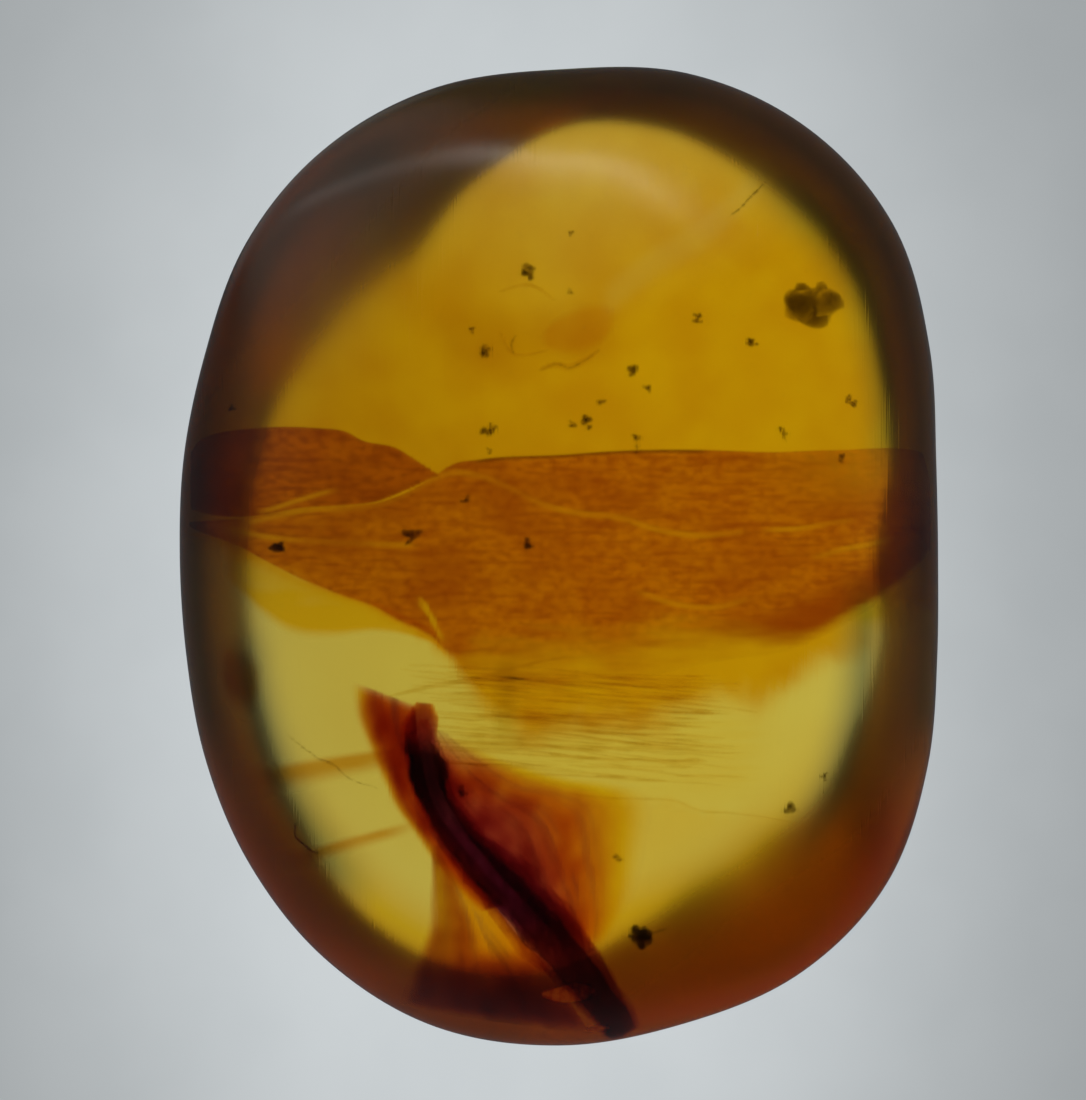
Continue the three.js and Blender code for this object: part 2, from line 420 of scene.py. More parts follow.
# %% The stone's mesh
def skin_over(rings, first_point, last_point):
    """Points and faces of a closed skin over rings that have the same number of points."""
    count = len(rings[0])
    points = [first_point] + [point for ring in rings for point in ring] + [last_point]
    last = len(points) - 1
    faces = []
    for i in range(count):
        after = (i + 1) % count
        faces.append((0, 1 + after, 1 + i))
        for low in range(1, last - count, count):
            faces.append((low + i, low + after, low + count + after, low + count + i))
        faces.append((last, last - count + i, last - count + after))
    return points, faces


STONE_SIDES = 320
BACK_RINGS = 40
BEVEL_RINGS = 18
DOME_RINGS = 56
angles = [2 * math.pi * i / STONE_SIDES for i in range(STONE_SIDES)]
stone_rings = []
ring_shares = []
for make_point, first_step, count, first_share, last_share in (
    (back_point, 1, BACK_RINGS, 1.0, 1.0), (bevel_point, 0, BEVEL_RINGS, 1.0, 0.0),
    (dome_point, 0, DOME_RINGS, 0.0, 1.0),
):
    for step in range(first_step, count):
        stone_rings.append([make_point(angle, step / count) for angle in angles])
        ring_shares.append(first_share + (last_share - first_share) * step / count)
stone_points, stone_faces = skin_over(stone_rings, (0, 0, 0), dome_point(0, 1))
point_shares = [1.0] + [share for share in ring_shares for angle in angles] + [1.0]

# %% [markdown]
# The resin came in more than one flow. The upper part of the stone is a deep yellow and the lower part is
# pale, and faint brown clouds run through both. Old resin also has a redder crust, and most of it was
# polished off: what is left of it lies near the edge, at the lower side. These are differences of tint, not
# of shape, so they go into the colour of the clear finish. Painted shade goes into that colour too: the
# dark rim, its soft inner edge, its top and bottom, and the left side are darkened there. The rim is left
# lighter where the haze lamp is mirrored, which is painted light.
#
# Light crosses the surface many times on its way through a stone, and each time a pattern made of nodes
# would be worked out again. So this one is worked out once, for each point of the mesh, and kept there as
# an attribute.

# %% The resin's tint and painted shade at a point of its surface
PALE_TINT = (1.0, 0.965, 0.93)
DEEP_TINT = (0.93, 0.60, 0.016)
CLOUD_TINT = (0.90, 0.78, 0.70)
CRUST_TINT = (1.0, 0.46, 0.19)
SPOT_TINT = (0.90, 0.82, 0.72)
# Painted shade: the stone is darkened towards its left side, more in its upper half.
PAINTED_LEFT_SHADE = (0.68, 0.64, 0.66)
# Painted shade that darkens the dark rim, above its lower part.
PAINTED_RIM_SHADE = (0.10, 0.21, 0.33)
# Painted shade on the soft inner edge of the dark rim, at three sides of the stone.
PAINTED_EDGE_SHADE = (0.20, 0.30, 0.80)
# Painted shade on the rim at the bottom, left of the middle.
PAINTED_FOOT_SHADE = (0.46, 0.55, 0.60)
# Painted shade that takes the red glow off the rim at the top.
PAINTED_TOP_SHADE = (0.42, 0.72, 0.90)
PAINTED_TOP_BEARING = math.radians(103)
# Where the haze lamp is mirrored on the rim, the painted rim shade is lifted: a painted light.
PAINTED_HAZE_BEARING = math.radians(127)
PAINTED_HAZE_FOCUS = 24
# Each brown spot has a middle, a width and a height. Each side of painted shade, on the soft inner edge of
# the dark rim, has a bearing, and where that shade starts and ends.
BROWN_SPOTS = [(-2.2, 6.1, 1.8, 1.2), (0.2, 6.2, 1.9, 1.2)]
PAINTED_SHADE_SIDES = [
    (math.radians(38), 0.37, 0.50), (math.radians(-27), 0.46, 0.57), (math.radians(216), 0.42, 0.53),
]
DEEP_EDGE = [
    (-11.0, 0.6), (-9.2, 0.3), (-8.0, -0.1), (-7.0, -0.6), (-5.0, -1.4), (-3.6, -2.2), (-2.7, -3.2),
    (-1.8, -4.5), (0.0, -4.6), (2.2, -4.5), (4.0, -4.2), (5.7, -3.9), (7.3, -2.75), (10.8, -0.9),
]
LOWER_FLOW_EDGE = [
    (0.0, -6.45), (1.15, -6.6), (2.25, -6.65), (3.2, -6.7), (3.9, -7.0), (5.1, -7.1), (6.6, -7.4),
]
PALE_STREAK = [(1.2, 7.0), (2.6, 8.1), (3.9, 8.9), (5.4, 10.3)]
CLOUD_SIZE = 1.6
CLOUD_STRENGTH = 0.5


def mixed(first, second, amount):
    """A colour that lies an amount, from 0 to 1, of the way from the first to the second."""
    return [a + (b - a) * amount for a, b in zip(first, second)]


def clouds_at(point):
    """Soft noise about 0, in lumps with two finer layers of lumps on them."""
    layers = [noise.noise(Vector(point) * (fine / CLOUD_SIZE)) / fine for fine in (1, 2, 4)]
    return CLOUD_STRENGTH * sum(layers)


def resin_tint_and_shade(point, inward):
    """The resin's colour: its tint, with painted shade laid over it. inward is 0 at the stone's edge, and 1
    on
    its flat back and at the dome's top. The pairs of numbers say where a tint or a painted shade comes or
    goes:
    at an x or y in millimetres, or at a value of inward."""
    x, y, _ = point
    bearing = math.atan2(y, x)
    clouds = clouds_at(point)
    # How deep a yellow it is: the upper flow, a fainter lower one, and the rim. A streak in it is paler.
    soft = 0.3 + 1.1 * rising(x, -3.5, 0.5)
    over_edge = y - height_on(DEEP_EDGE, x) + clouds * soft
    paler_top = 1.05 - 0.33 * rising(y - 0.5 * abs(x), 3.5, 11.0)
    upper_flow = rising(over_edge, -0.5 * soft, 0.5 * soft) * paler_top
    lower_flow = 0.3 * falling(y - height_on(LOWER_FLOW_EDGE, x), -0.1, 0.1) * rising(x, -0.5, 1.5)
    rim_end = 0.49 + 0.09 * rising(x, -4.0, 2.0)
    golden_rim = falling(inward, rim_end - 0.06, rim_end + 0.06) * falling(y, -8.0, -4.0)
    off_streak = abs(y - height_on(PALE_STREAK, x))
    streak = 0.18 * falling(off_streak, 0.15, 0.65) * rising(x, 1.0, 1.5) * falling(x, 5.1, 5.6)
    # side is painted shade on the soft inner edge of the dark rim; it also makes the yellow there paler.
    side = max(rising(inward, start - 0.07, start) * falling(inward, start, end)
               * rising(math.cos(bearing - middle), 0.89, 0.96) for middle, start, end in PAINTED_SHADE_SIDES)
    depth = max(upper_flow, lower_flow, golden_rim) * (1 - 0.3 * side) - streak
    colour = mixed(PALE_TINT, DEEP_TINT, min(max(depth, 0.0), 1.0))
    # The tints and the painted shades that lie over it, each with its strength here. haze is painted light:
    # where the haze lamp is mirrored, it lifts the painted rim shade.
    haze = max(0.0, math.cos(bearing - PAINTED_HAZE_BEARING)) ** PAINTED_HAZE_FOCUS * rising(inward, 0.10, 0.26)
    crust_end = 0.46 + 0.10 * rising(x, -5.0, 1.0)
    spot = max(falling(math.hypot((x - mid_x) / wide, (y - mid_y) / high), 0.3, 1.0)
               for mid_x, mid_y, wide, high in BROWN_SPOTS)
    for amount, tint in (
        (rising(clouds, -0.3, 0.3) * (0.2 + 0.8 * min(upper_flow, 1.0)), CLOUD_TINT),
        (falling(x, -10.5, 3.0) * (0.6 + 0.4 * rising(y, -3.0, 1.0)), PAINTED_LEFT_SHADE),
        (falling(inward, 0.22, 0.42) * rising(y, -8.0, -4.0) * (1 - 0.7 * haze), PAINTED_RIM_SHADE),
        (falling(inward, crust_end - 0.16, crust_end) * falling(y, -9.0, 1.0), CRUST_TINT),
        (side, PAINTED_EDGE_SHADE),
        (rising(x, -6.2, -4.2) * falling(x, -2.0, 0.2) * falling(y, -12.4, -11.2), PAINTED_FOOT_SHADE),
        (rising(math.cos(bearing - PAINTED_TOP_BEARING), 0.93, 0.98) * falling(inward, 0.26, 0.40), PAINTED_TOP_SHADE),
        (spot * rising(inward, 0.3, 0.4), SPOT_TINT),
    ):
        colour = [part * (1 + (kept - 1) * amount) for part, kept in zip(colour, tint)]
    return colour

# %% [markdown]
# Absorption takes blue from the light all along its way, so long ways through the stone are redder than
# short ones: that is why the rim is brown, and painted shade in the tint darkens it further. The back is only
# ground, so it is rougher than the polished face, and blurs the edge of the dark rim. Polishing left fine
# scratches that run in one direction. They are far too shallow to model, so a bump with long, thin noise
# does them.

# %% The resin
RESIN_ABSORBED = (0.022, 0.054, 0.344)
GROUND_BACK = 0.28
POLISHED_FACE = 0.16
SCRATCH_TURN = math.radians(-38)
SCRATCH_DEPTH = 0.0015

resin, tree, shader = see_through("clear_resin", RESIN_INDEX, RESIN_ABSORBED)
tint = add(tree, "ShaderNodeAttribute", attribute_type="GEOMETRY", attribute_name="tint")
place, _, _, z = place_in_mm(tree)
roughness = ramp(tree, z, 0.5 * EDGE_HEIGHT, 1.1 * EDGE_HEIGHT, GROUND_BACK, POLISHED_FACE)
scratches = cloud(tree, place, 0.05, detail=0.0, stretch=(1, 40, 8), turn=SCRATCH_TURN)
scratches = times(tree, ramp(tree, scratches, 0.55, 0.85), ramp(tree, z, 4.0, 5.5))
bump = add(tree, "ShaderNodeBump", {"Height": scratches, "Distance": -SCRATCH_DEPTH * MM, "Strength": 1.0})
fill(tree, shader, {"Base Color": tint.outputs["Color"], "Roughness": roughness, "Normal": bump.outputs[0]})

stone = make_piece("amber_stone", resin, stone_points, stone_faces)
kept = stone.data.color_attributes.new("tint", "FLOAT_COLOR", "POINT")
for spot, point, share in zip(kept.data, stone_points, point_shares):
    spot.color = (*resin_tint_and_shade(point, share), 1)
seat(stone, "amber", "amber_upper", "amber_lower")

# %% [markdown]
# ## The leaf
# The leaf is a soaked, brown blade, thinner than paper, with a folded lobe at its left end. It is drawn
# between two edges, a lower and an upper one, and filled with a grid of points that goes from one to the
# other. Both faces of the sheet are made that way and joined round the rim, so it is a closed, thin body.

# %% A thin closed sheet
def closed_sheet(first_count, second_count, point_at):
    """Points, faces and shares of a thin closed body over a grid. point_at gives the point at a first and a
    second step of the grid and on a side, which is 1 for the upper face and -1 for the lower one."""
    points = []
    shares = []
    for side in (1, -1):
        for first in range(first_count + 1):
            for second in range(second_count + 1):
                points.append(point_at(first, second, side))
                shares.append((first / first_count, second / second_count))
    width = second_count + 1
    below = (first_count + 1) * width
    faces = []
    for first in range(first_count):
        for second in range(second_count):
            a = first * width + second
            b = a + width
            faces.append((a, b, b + 1, a + 1))
            faces.append((below + a + 1, below + b + 1, below + b, below + a))
    rim = [first * width for first in range(first_count + 1)]
    rim += [first_count * width + second for second in range(1, second_count + 1)]
    rim += [first * width + second_count for first in range(first_count - 1, -1, -1)]
    rim += list(range(second_count - 1, 0, -1))
    faces += [(b, a, below + a, below + b) for a, b in zip(rim, rim[1:] + rim[:1])]
    return points, faces, shares


def sheet_between(low_edge, high_edge, columns, rows, thickness, lift):
    """A closed sheet between two edges. thickness comes from x, y and the share up, and lift from x and y."""
    first, last = low_edge[0][0], low_edge[-1][0]
    ends = []
    for column in range(columns + 1):
        x = first + (last - first) * column / columns
        ends.append((x, height_on(low_edge, x), height_on(high_edge, x)))

    def point_at(column, row, side):
        x, low, high = ends[column]
        share = row / rows
        y = low + (high - low) * share
        return x, y, PARTING + lift(x, y) + side * thickness(x, y, share) / 2

    return closed_sheet(columns, rows, point_at)

# %% [markdown]
# The blade buckles a little, and pale creases cross it: each is a line and a width, and stands up from the
# blade as a low ridge. The sheet thins out towards its edges.

# %% The leaf's shape
CREASES = {
    "fold": ([(-8.5, 1.0), (-7.0, 1.3), (-5.1, 1.45), (-4.3, 1.7), (-3.5, 2.15), (-2.95, 2.35),
              (-2.45, 2.32), (-1.65, 2.05), (-0.55, 1.5), (0.3, 1.25), (1.6, 1.1), (2.7, 0.75), (3.8, 0.6),
              (5.0, 0.7)], 0.10),
    "left": ([(-9.1, 0.8), (-8.0, 0.6), (-6.75, 0.47), (-5.4, 0.4), (-4.0, 0.33)], 0.09),
    "right": ([(6.9, 0.0), (7.6, 0.2), (8.3, 0.33), (9.1, 0.5)], 0.08),
    "low": ([(2.2, -1.0), (2.7, -1.2), (3.5, -1.4), (4.35, -1.4), (5.1, -1.2)], 0.08),
    "lobe": ([(-8.1, 1.3), (-7.0, 1.62), (-6.1, 1.86)], 0.05),
    "far": ([(5.6, 0.75), (6.5, 0.8), (7.9, 1.03)], 0.05),
}
BLADE_LOW = [
    (-10.3, 0.85), (-8.8, 0.35), (-8.05, -0.05), (-7.0, -0.6), (-5.95, -1.05), (-5.0, -1.4),
    (-4.35, -1.8), (-3.7, -2.1), (-3.25, -2.45), (-2.9, -2.95), (-2.6, -3.35), (-2.2, -3.6),
    (-0.5, -3.75), (1.1, -3.6), (2.35, -3.35), (3.55, -3.05), (4.75, -2.85), (5.95, -2.7), (7.0, -2.3),
    (8.2, -1.6), (9.2, -0.9), (10.1, -0.1), (10.4, 0.2),
]
BLADE_HIGH = [
    (-10.3, 1.0), (-8.4, 1.12), (-7.0, 1.35), (-5.1, 1.5), (-4.3, 1.75), (-3.5, 2.2), (-2.9, 2.6),
    (-2.3, 2.7), (-1.65, 2.77), (0.0, 2.82), (1.1, 2.9), (2.2, 2.95), (3.8, 2.97), (5.7, 2.92),
    (7.3, 2.99), (10.0, 2.95), (10.4, 2.2),
]
LOBE_LOW = [
    (-10.25, 1.35), (-9.4, 1.15), (-8.4, 1.1), (-7.0, 1.33), (-5.1, 1.5), (-4.2, 1.85), (-3.65, 2.12),
    (-3.3, 2.3),
]
LOBE_HIGH = [
    (-10.25, 2.95), (-9.85, 3.3), (-8.95, 3.54), (-7.55, 3.65), (-6.35, 3.6), (-5.8, 3.52), (-5.3, 3.25),
    (-4.5, 3.08), (-3.95, 2.75), (-3.55, 2.48), (-3.3, 2.32),
]
LEAF_THICKNESS = 0.14
MARGIN_THICKNESS = 0.15
RIDGE_HEIGHT = 0.06


def leaf_thickness(x, y, share):
    """Thin at the lower and upper edge, and full between."""
    return LEAF_THICKNESS * (MARGIN_THICKNESS + (1 - MARGIN_THICKNESS) * min(1, 8 * share, 8 * (1 - share)))


def leaf_lift(x, y):
    """How far the leaf stands above the parting plane: a slow buckle, and a ridge on each crease."""
    lift = 0.14 * noise.noise((x / 3, y / 1.6, 0.3)) + 0.05 * noise.noise((x / 0.7, y / 0.35, 1.7))
    ridges = 0.0
    for points, width in CREASES.values():
        if points[0][0] <= x <= points[-1][0]:
            ridges += RIDGE_HEIGHT * math.exp(-(((y - height_on(points, x)) / width) ** 2))
    return lift + ridges

# %% [markdown]
# ## The leaf's finish
# Light comes through the leaf and takes its brown from it, so the leaf is a filter: clear, with the resin's
# own index, and a brown tint. A little of it is opaque, as real tissue is. The tint is mottled, it fades at
# the ragged lower edge, and it is nearly gone on the creases, where the tissue has parted.

# %% The leaf's finish
BROWN = (0.885, 0.52, 0.098)
DARK_BROWN = (0.50, 0.165, 0.04)
LOBE_BROWN = (0.76, 0.36, 0.066)
DARK_LOBE_BROWN = (0.40, 0.115, 0.032)
WORN = (0.94, 0.75, 0.37)
GONE = (0.995, 0.96, 0.87)
EDGE_LINE = (0.12, 0.03, 0.02)
TOP_EDGE_LINE = [(-2.3, 2.68), (-1.65, 2.75), (0.0, 2.80), (1.1, 2.88), (2.2, 2.93), (3.9, 2.95)]
CRESCENT = [(-3.78, -1.25), (-3.52, -1.6), (-3.33, -1.95), (-3.2, -2.25)]
DARK_CORNER = [(4.2, -2.5), (5.8, -2.2), (7.2, -1.65), (9.2, -0.6)]
SPOTS = [(-3.0, 1.45, 0.3), (-0.9, 0.3, 0.35), (5.9, -2.0, 0.4), (1.9, 0.1, 0.2)]
TISSUE_CLEAR = 0.97


def leaf_finish(name, tint, dark_tint):
    """The filter of the leaf, with mottling, creases, dark edge lines and a worn lower edge."""
    finish, tree, shader = see_through(name, SAME_AS_RESIN)
    place, x, y, _ = place_in_mm(tree)
    patches = cloud(tree, place, 1.1, detail=4.0, stretch=(2.0, 1, 1))
    cells = cloud(tree, place, 0.20, detail=4.0, stretch=(1.5, 1, 1))
    veins = cloud(tree, place, 0.14, detail=1.0, stretch=(9, 1, 3), turn=math.radians(24))
    marks = [
        (ramp(tree, patches, 0.35, 0.75, 0.0, 0.55), dark_tint),
        (ramp(tree, cells, 0.40, 0.70, 0.0, 0.7), dark_tint),
        (ramp(tree, veins, 0.50, 0.72, 0.0, 0.55), dark_tint),
    ]
    for spot_x, spot_y, reach in SPOTS:
        away = work_out_vector(tree, "DISTANCE", place, (spot_x, spot_y, PARTING))
        uneven = work_out(tree, "MULTIPLY_ADD", cells, reach, away)
        marks.append((ramp(tree, uneven, 0.4 * reach, 1.6 * reach, 0.5, 0.0), dark_tint))
    marks.append((times(tree, on_line(tree, x, y, DARK_CORNER, 0.4, 0.9, 1.5), 0.85), dark_tint))
    pale_corner = times(tree, ramp(tree, x, 4.5, 8.0), ramp(tree, y, 0.8, 2.6, 0.0, 0.6), cells)
    marks.append((pale_corner, GONE))
    broken = ramp(tree, patches, 0.35, 0.6, 0.85, 0.3)
    for points, width in CREASES.values():
        marks.append((times(tree, on_line(tree, x, y, points, width * 0.4, 0.11), broken), WORN))
    marks.append((on_line(tree, x, y, CRESCENT, 0.16, 0.14, 0.3), GONE))
    left_crease = on_line(tree, x, y, CREASES["left"][0], 0.1, 0.4, 1.5)
    marks.append((times(tree, ramp_down(tree, x, -9.6, -8.2), left_crease, 0.7), GONE))
    marks.append((times(tree, on_line(tree, x, y, TOP_EDGE_LINE, 0.03, 0.09), 0.6), EDGE_LINE))
    colour = lay_over(tree, tint, *marks)
    # The lower edge is worn away raggedly, in the middle of the blade more than at its ends.
    ragged = cloud(tree, place, 0.3, detail=3.0, stretch=(6, 1, 1))
    ragged = work_out(tree, "MULTIPLY_ADD", ragged, 0.3, -0.15)
    worn = times(tree, ramp(tree, x, -3.2, -2.0), ramp(tree, x, 3.0, 7.0, 1.0, 0.2))
    up = work_out(tree, "MULTIPLY_ADD", ragged, worn, read_shares(tree)[2])
    covered = ramp(tree, up, 0.0, work_out(tree, "MULTIPLY_ADD", worn, 0.29, 0.03))
    colour = blend_colour(tree, covered, GONE, colour)
    fill(tree, shader, {"Base Color": colour, "Transmission Weight": TISSUE_CLEAR, "Specular IOR Level": 0.0})
    return finish

# %% Both parts of the leaf
for name, low_edge, high_edge, columns, rows, finish in (
    ("leaf_blade_creased", BLADE_LOW, BLADE_HIGH, 260, 80, leaf_finish("brown_leaf", BROWN, DARK_BROWN)),
    ("leaf_lobe", LOBE_LOW, LOBE_HIGH, 120, 30, leaf_finish("dark_leaf", LOBE_BROWN, DARK_LOBE_BROWN)),
):
    sheet = sheet_between(low_edge, high_edge, columns, rows, leaf_thickness, leaf_lift)
    seat(make_piece(name, finish, *sheet), "leaf", "leaf_blade")

# %% [markdown]
# ## The stem
# The stem is a round limb whose thickness changes along its way. Rings of points follow the route, and
# small noise on each ring gives the ridges of bark. It has a dark core, and round that lies soaked bark,
# which lets a little red and violet light through where it is thin. The bark's section is a lens, not a
# circle, so it grows thin slowly towards its two sides, and the stem has a soft dark-red edge.

# %% A round limb along a route
RINGS_A_STRETCH = 8


def limb(route, sides, ridges, flatness=1.0, lens=1.0):
    """Points and faces of a limb. The route holds x, y and radius. A lens above 1 thins its two sides out."""
    rings = []
    steps = RINGS_A_STRETCH * (len(route) - 1)
    for step in range(steps + 1):
        share = step / steps
        x, y, radius = point_along(route, share)
        before = point_along(route, share - 0.01)
        after = point_along(route, share + 0.01)
        along = Vector((after[0] - before[0], after[1] - before[1], 0)).normalized()
        ring = []
        for side in range(sides):
            turn = 2 * math.pi * side / sides
            rough = 1 + ridges * noise.noise((2 * math.cos(turn), 2 * math.sin(turn), 9 * share))
            rough += ridges * noise.noise((6 * math.cos(turn), 6 * math.sin(turn), 26 * share)) / 2
            across = radius * rough * math.cos(turn)
            up = radius * rough * flatness * math.copysign(abs(math.sin(turn)) ** lens, math.sin(turn))
            ring.append((x - along.y * across, y + along.x * across, PARTING + up))
        rings.append(ring)
    ends = [[sum(values) / sides for values in zip(*ring)] for ring in (rings[0], rings[-1])]
    return skin_over(rings, ends[0], ends[1])


CORE_ROUTE = [
    (-3.68, -4.45, 0.12), (-3.72, -4.8, 0.24), (-3.78, -5.1, 0.34), (-3.66, -5.6, 0.40),
    (-3.55, -6.2, 0.40), (-3.38, -6.75, 0.36), (-3.0, -7.4, 0.34), (-2.4, -8.15, 0.40),
    (-1.6, -9.0, 0.46), (-0.65, -10.0, 0.48), (0.2, -10.95, 0.46), (0.9, -11.85, 0.44),
    (1.4, -12.55, 0.42), (1.72, -13.1, 0.36),
]
BARK_ROUTE = [
    (-3.68, -4.0, 0.20), (-3.72, -4.4, 0.38), (-3.78, -5.0, 0.50), (-3.66, -5.6, 0.50),
    (-3.52, -6.2, 0.50), (-3.32, -6.75, 0.52), (-2.9, -7.4, 0.58), (-2.28, -8.15, 0.68),
    (-1.45, -9.0, 0.82), (-0.55, -10.0, 0.86), (0.28, -10.95, 0.78), (0.95, -11.85, 0.68),
    (1.45, -12.55, 0.60), (1.75, -13.15, 0.5),
]

# %% [markdown]
# Both are soaked with resin, so a little light still comes through them. The bark's finish absorbs most of
# the green, and less of the red and the blue, so its thin margin is violet. The core only tints what passes
# it, in streaks along the wood. Plain opaque wood is kept for the hairs, which are too thin for anything
# finer.

# %% The stem's finishes
BARK_ABSORBED = (2.2, 5.0, 2.3)
ALONG_STEM = math.radians(40)

wood, tree, shader = new_finish("charred_wood")
grain = cloud(tree, place_in_mm(tree)[0], 0.10, detail=4.0, stretch=(1, 3, 1), turn=ALONG_STEM)
charred = blend_colour(tree, ramp(tree, grain, 0.35, 0.75), (0.10, 0.018, 0.12), (0.22, 0.045, 0.22))
ridged = add(tree, "ShaderNodeBump", {"Height": grain, "Distance": 0.04 * MM, "Strength": 1.0}).outputs[0]
fill(tree, shader, {"Base Color": charred, "Roughness": 0.85, "Specular IOR Level": 0.1, "Normal": ridged})

bark, tree, shader = see_through("soaked_bark", SAME_AS_RESIN, BARK_ABSORBED)
place, _, y, _ = place_in_mm(tree)
blotched = mottled(tree, place, 0.3, 0.3, 0.7, (0.8, 0.6, 0.7), CLEAR,
                   detail=4.0, stretch=(1, 3, 1), turn=ALONG_STEM)
golden_top = (ramp(tree, y, -5.4, -4.2), (0.85, 0.42, 0.10))
fill(tree, shader, {"Base Color": lay_over(tree, blotched, golden_top)})

heartwood, tree, shader = see_through("soaked_heartwood", SAME_AS_RESIN)
place, _, y, _ = place_in_mm(tree)
streaked = mottled(tree, place, 0.12, 0.35, 0.7, (0.30, 0.24, 0.45), (0.75, 0.6, 0.9),
                   detail=4.0, stretch=(1, 4, 1), turn=ALONG_STEM)
dark_upper_half = (ramp(tree, y, -8.2, -6.2), (0.10, 0.06, 0.10))
pale_tip = (ramp(tree, y, -5.5, -4.7), (0.85, 0.5, 0.4))
fill(tree, shader, {"Base Color": lay_over(tree, streaked, dark_upper_half, pale_tip)})

core = make_piece("stem_core", heartwood, *limb(CORE_ROUTE, 32, ridges=0.45))
seat(core, "stem", "twig_stem")
sheath = make_piece("stem_bark", bark, *limb(BARK_ROUTE, 48, ridges=0.3, flatness=0.64, lens=1.7))
seat(sheath, "stem", "twig_stem")

# %% [markdown]
# ## The bracts
# A bract is a small scale-like leaf that stands at a stem. Each one here is a body between two side lines,
# thick where it meets the stem and thin at its free edge. Because its finish is see-through, that one
# change of thickness turns it from dark red at the stem to orange and then yellow at the edge. Its fibres
# fan out along it, so its finish reads a UV map whose u runs across the scale and whose v runs down it.

# %% A scale between two side lines
THINNEST = 0.003


def scale_between(inner, outer, columns, rows, thickness):
    """A closed body between two side lines. Rows run down the side lines and columns go across."""
    ends = [(point_along(inner, row / rows), point_along(outer, row / rows)) for row in range(rows + 1)]

    def point_at(row, column, side):
        (inner_x, inner_y), (outer_x, outer_y) = ends[row]
        across = column / columns
        x = inner_x + (outer_x - inner_x) * across
        y = inner_y + (outer_y - inner_y) * across
        uneven = 1 + 0.4 * noise.noise((x / 0.9, y / 0.9, 4.2)) + 0.3 * noise.noise((x / 0.35, y / 0.5, 8.1))
        half = max(thickness(row / rows, across) * uneven, THINNEST) / 2
        return x, y, PARTING + side * half

    points, faces, shares = closed_sheet(rows, columns, point_at)
    return points, faces, [(across, down) for down, across in shares]

# %% The finish of a scale
SCALE_ABSORBED = (2.6, 7.8, 5.2)
STRIP_ABSORBED = (2.9, 6.2, 4.8)
SCALE_FILM = (1.0, 0.60, 0.04)
SCALE_EDGE_FILM = (1.0, 0.90, 0.06)
FIBRE_COLOUR = (0.42, 0.22, 0.25)


def scale_finish(name, absorbed, fibres, top_edge, clean):
    """A soaked, stained scale with that many dark fibres. Its stain fades towards its outer side and its top
    edge, and, up to the share clean of its width, at the stem, where a violet light comes through."""
    finish, tree, shader = see_through(name, SAME_AS_RESIN, absorbed)
    pair, across, down = read_shares(tree)
    stretched = add(tree, "ShaderNodeMapping", {"Vector": pair, "Scale": (fibres, 2.2, 1)}).outputs[0]
    streak = add(tree, "ShaderNodeTexNoise",
                 {"Vector": stretched, "Scale": 1.0, "Detail": 3.0, "Distortion": 0.6}).outputs[0]
    streak = times(tree, ramp(tree, streak, 0.42, 0.68, 0.0, 0.6), ramp_down(tree, across, 0.35, 0.9))
    stained = times(tree, ramp_down(tree, across, 0.82, 1.0), ramp(tree, down, 0.0, top_edge))
    if clean:
        violet = times(tree, ramp(tree, across, 0.05, clean, 0.9, 0.0), ramp(tree, down, 0.2, 0.5))
        stained = times(tree, stained, work_out(tree, "SUBTRACT", 1.0, violet))
    stained = times(tree, stained, ramp_down(tree, down, 0.92, 1.0))
    film = blend_colour(tree, ramp(tree, across, 0.55, 0.85), SCALE_FILM, SCALE_EDGE_FILM)
    fill(tree, shader, {"Base Color": lay_over(tree, CLEAR, (stained, film), (streak, FIBRE_COLOUR))})
    return finish

# %% The bracts themselves
LEFT_OUTER = [
    (-5.65, -3.4), (-5.55, -4.3), (-5.2, -5.25), (-4.85, -6.1), (-4.5, -6.85), (-4.0, -7.55),
    (-3.5, -8.3), (-2.9, -9.05), (-2.2, -9.75),
]
LEFT_INNER = [
    (-3.9, -4.08), (-3.85, -4.9), (-3.7, -5.7), (-3.6, -6.3), (-3.35, -6.9), (-2.9, -7.6), (-2.4, -8.2),
    (-1.9, -8.8), (-1.3, -9.5),
]
RIGHT_INNER = [
    (-3.5, -4.7), (-3.4, -5.6), (-3.1, -6.6), (-2.5, -7.6), (-1.7, -8.6), (-0.8, -9.6), (0.5, -10.95),
]
RIGHT_OUTER = [
    (-3.0, -4.8), (-1.6, -5.5), (0.2, -6.0), (2.4, -6.45), (2.4, -8.1), (2.05, -9.4), (1.2, -10.75),
]
BASE_OUTER = [(-3.5, -7.9), (-3.5, -8.6), (-3.55, -9.4), (-3.65, -10.3), (-4.1, -11.4), (-4.5, -12.6)]
BASE_INNER = [(-3.2, -7.9), (-2.5, -8.7), (-1.8, -9.5), (-1.1, -10.4), (-0.2, -11.4), (0.9, -13.2)]


def left_thickness(down, across):
    """The left bract is even, with a soft outer edge, and narrows to a margin along the stem."""
    return 0.42 * rising(down, -0.03, 0.10) * falling(across, 0.58, 1.0) * (1 - 0.45 * rising(down, 0.4, 0.9))


def right_thickness(down, across):
    """The right bract is thickest at the stem."""
    return 0.60 * rising(down, -0.05, 0.33) * falling(down, 0.90, 1.0) * max(0.0, 1 - across) ** 1.6


def base_thickness(down, across):
    """The lower strip is thin along the stem, where the resin shows yellow, and thick at its foot."""
    even = 0.03 + 0.19 * rising(across, 0.38, 0.60)
    foot = rising(down, 0.66, 0.84)
    sides = rising(across, -0.03, 0.08) * falling(across, 0.85, 1.0)
    ends = rising(down, 0.0, 0.15) * falling(down, 0.92, 1.0)
    return (even + (0.36 - even) * foot) * sides * ends


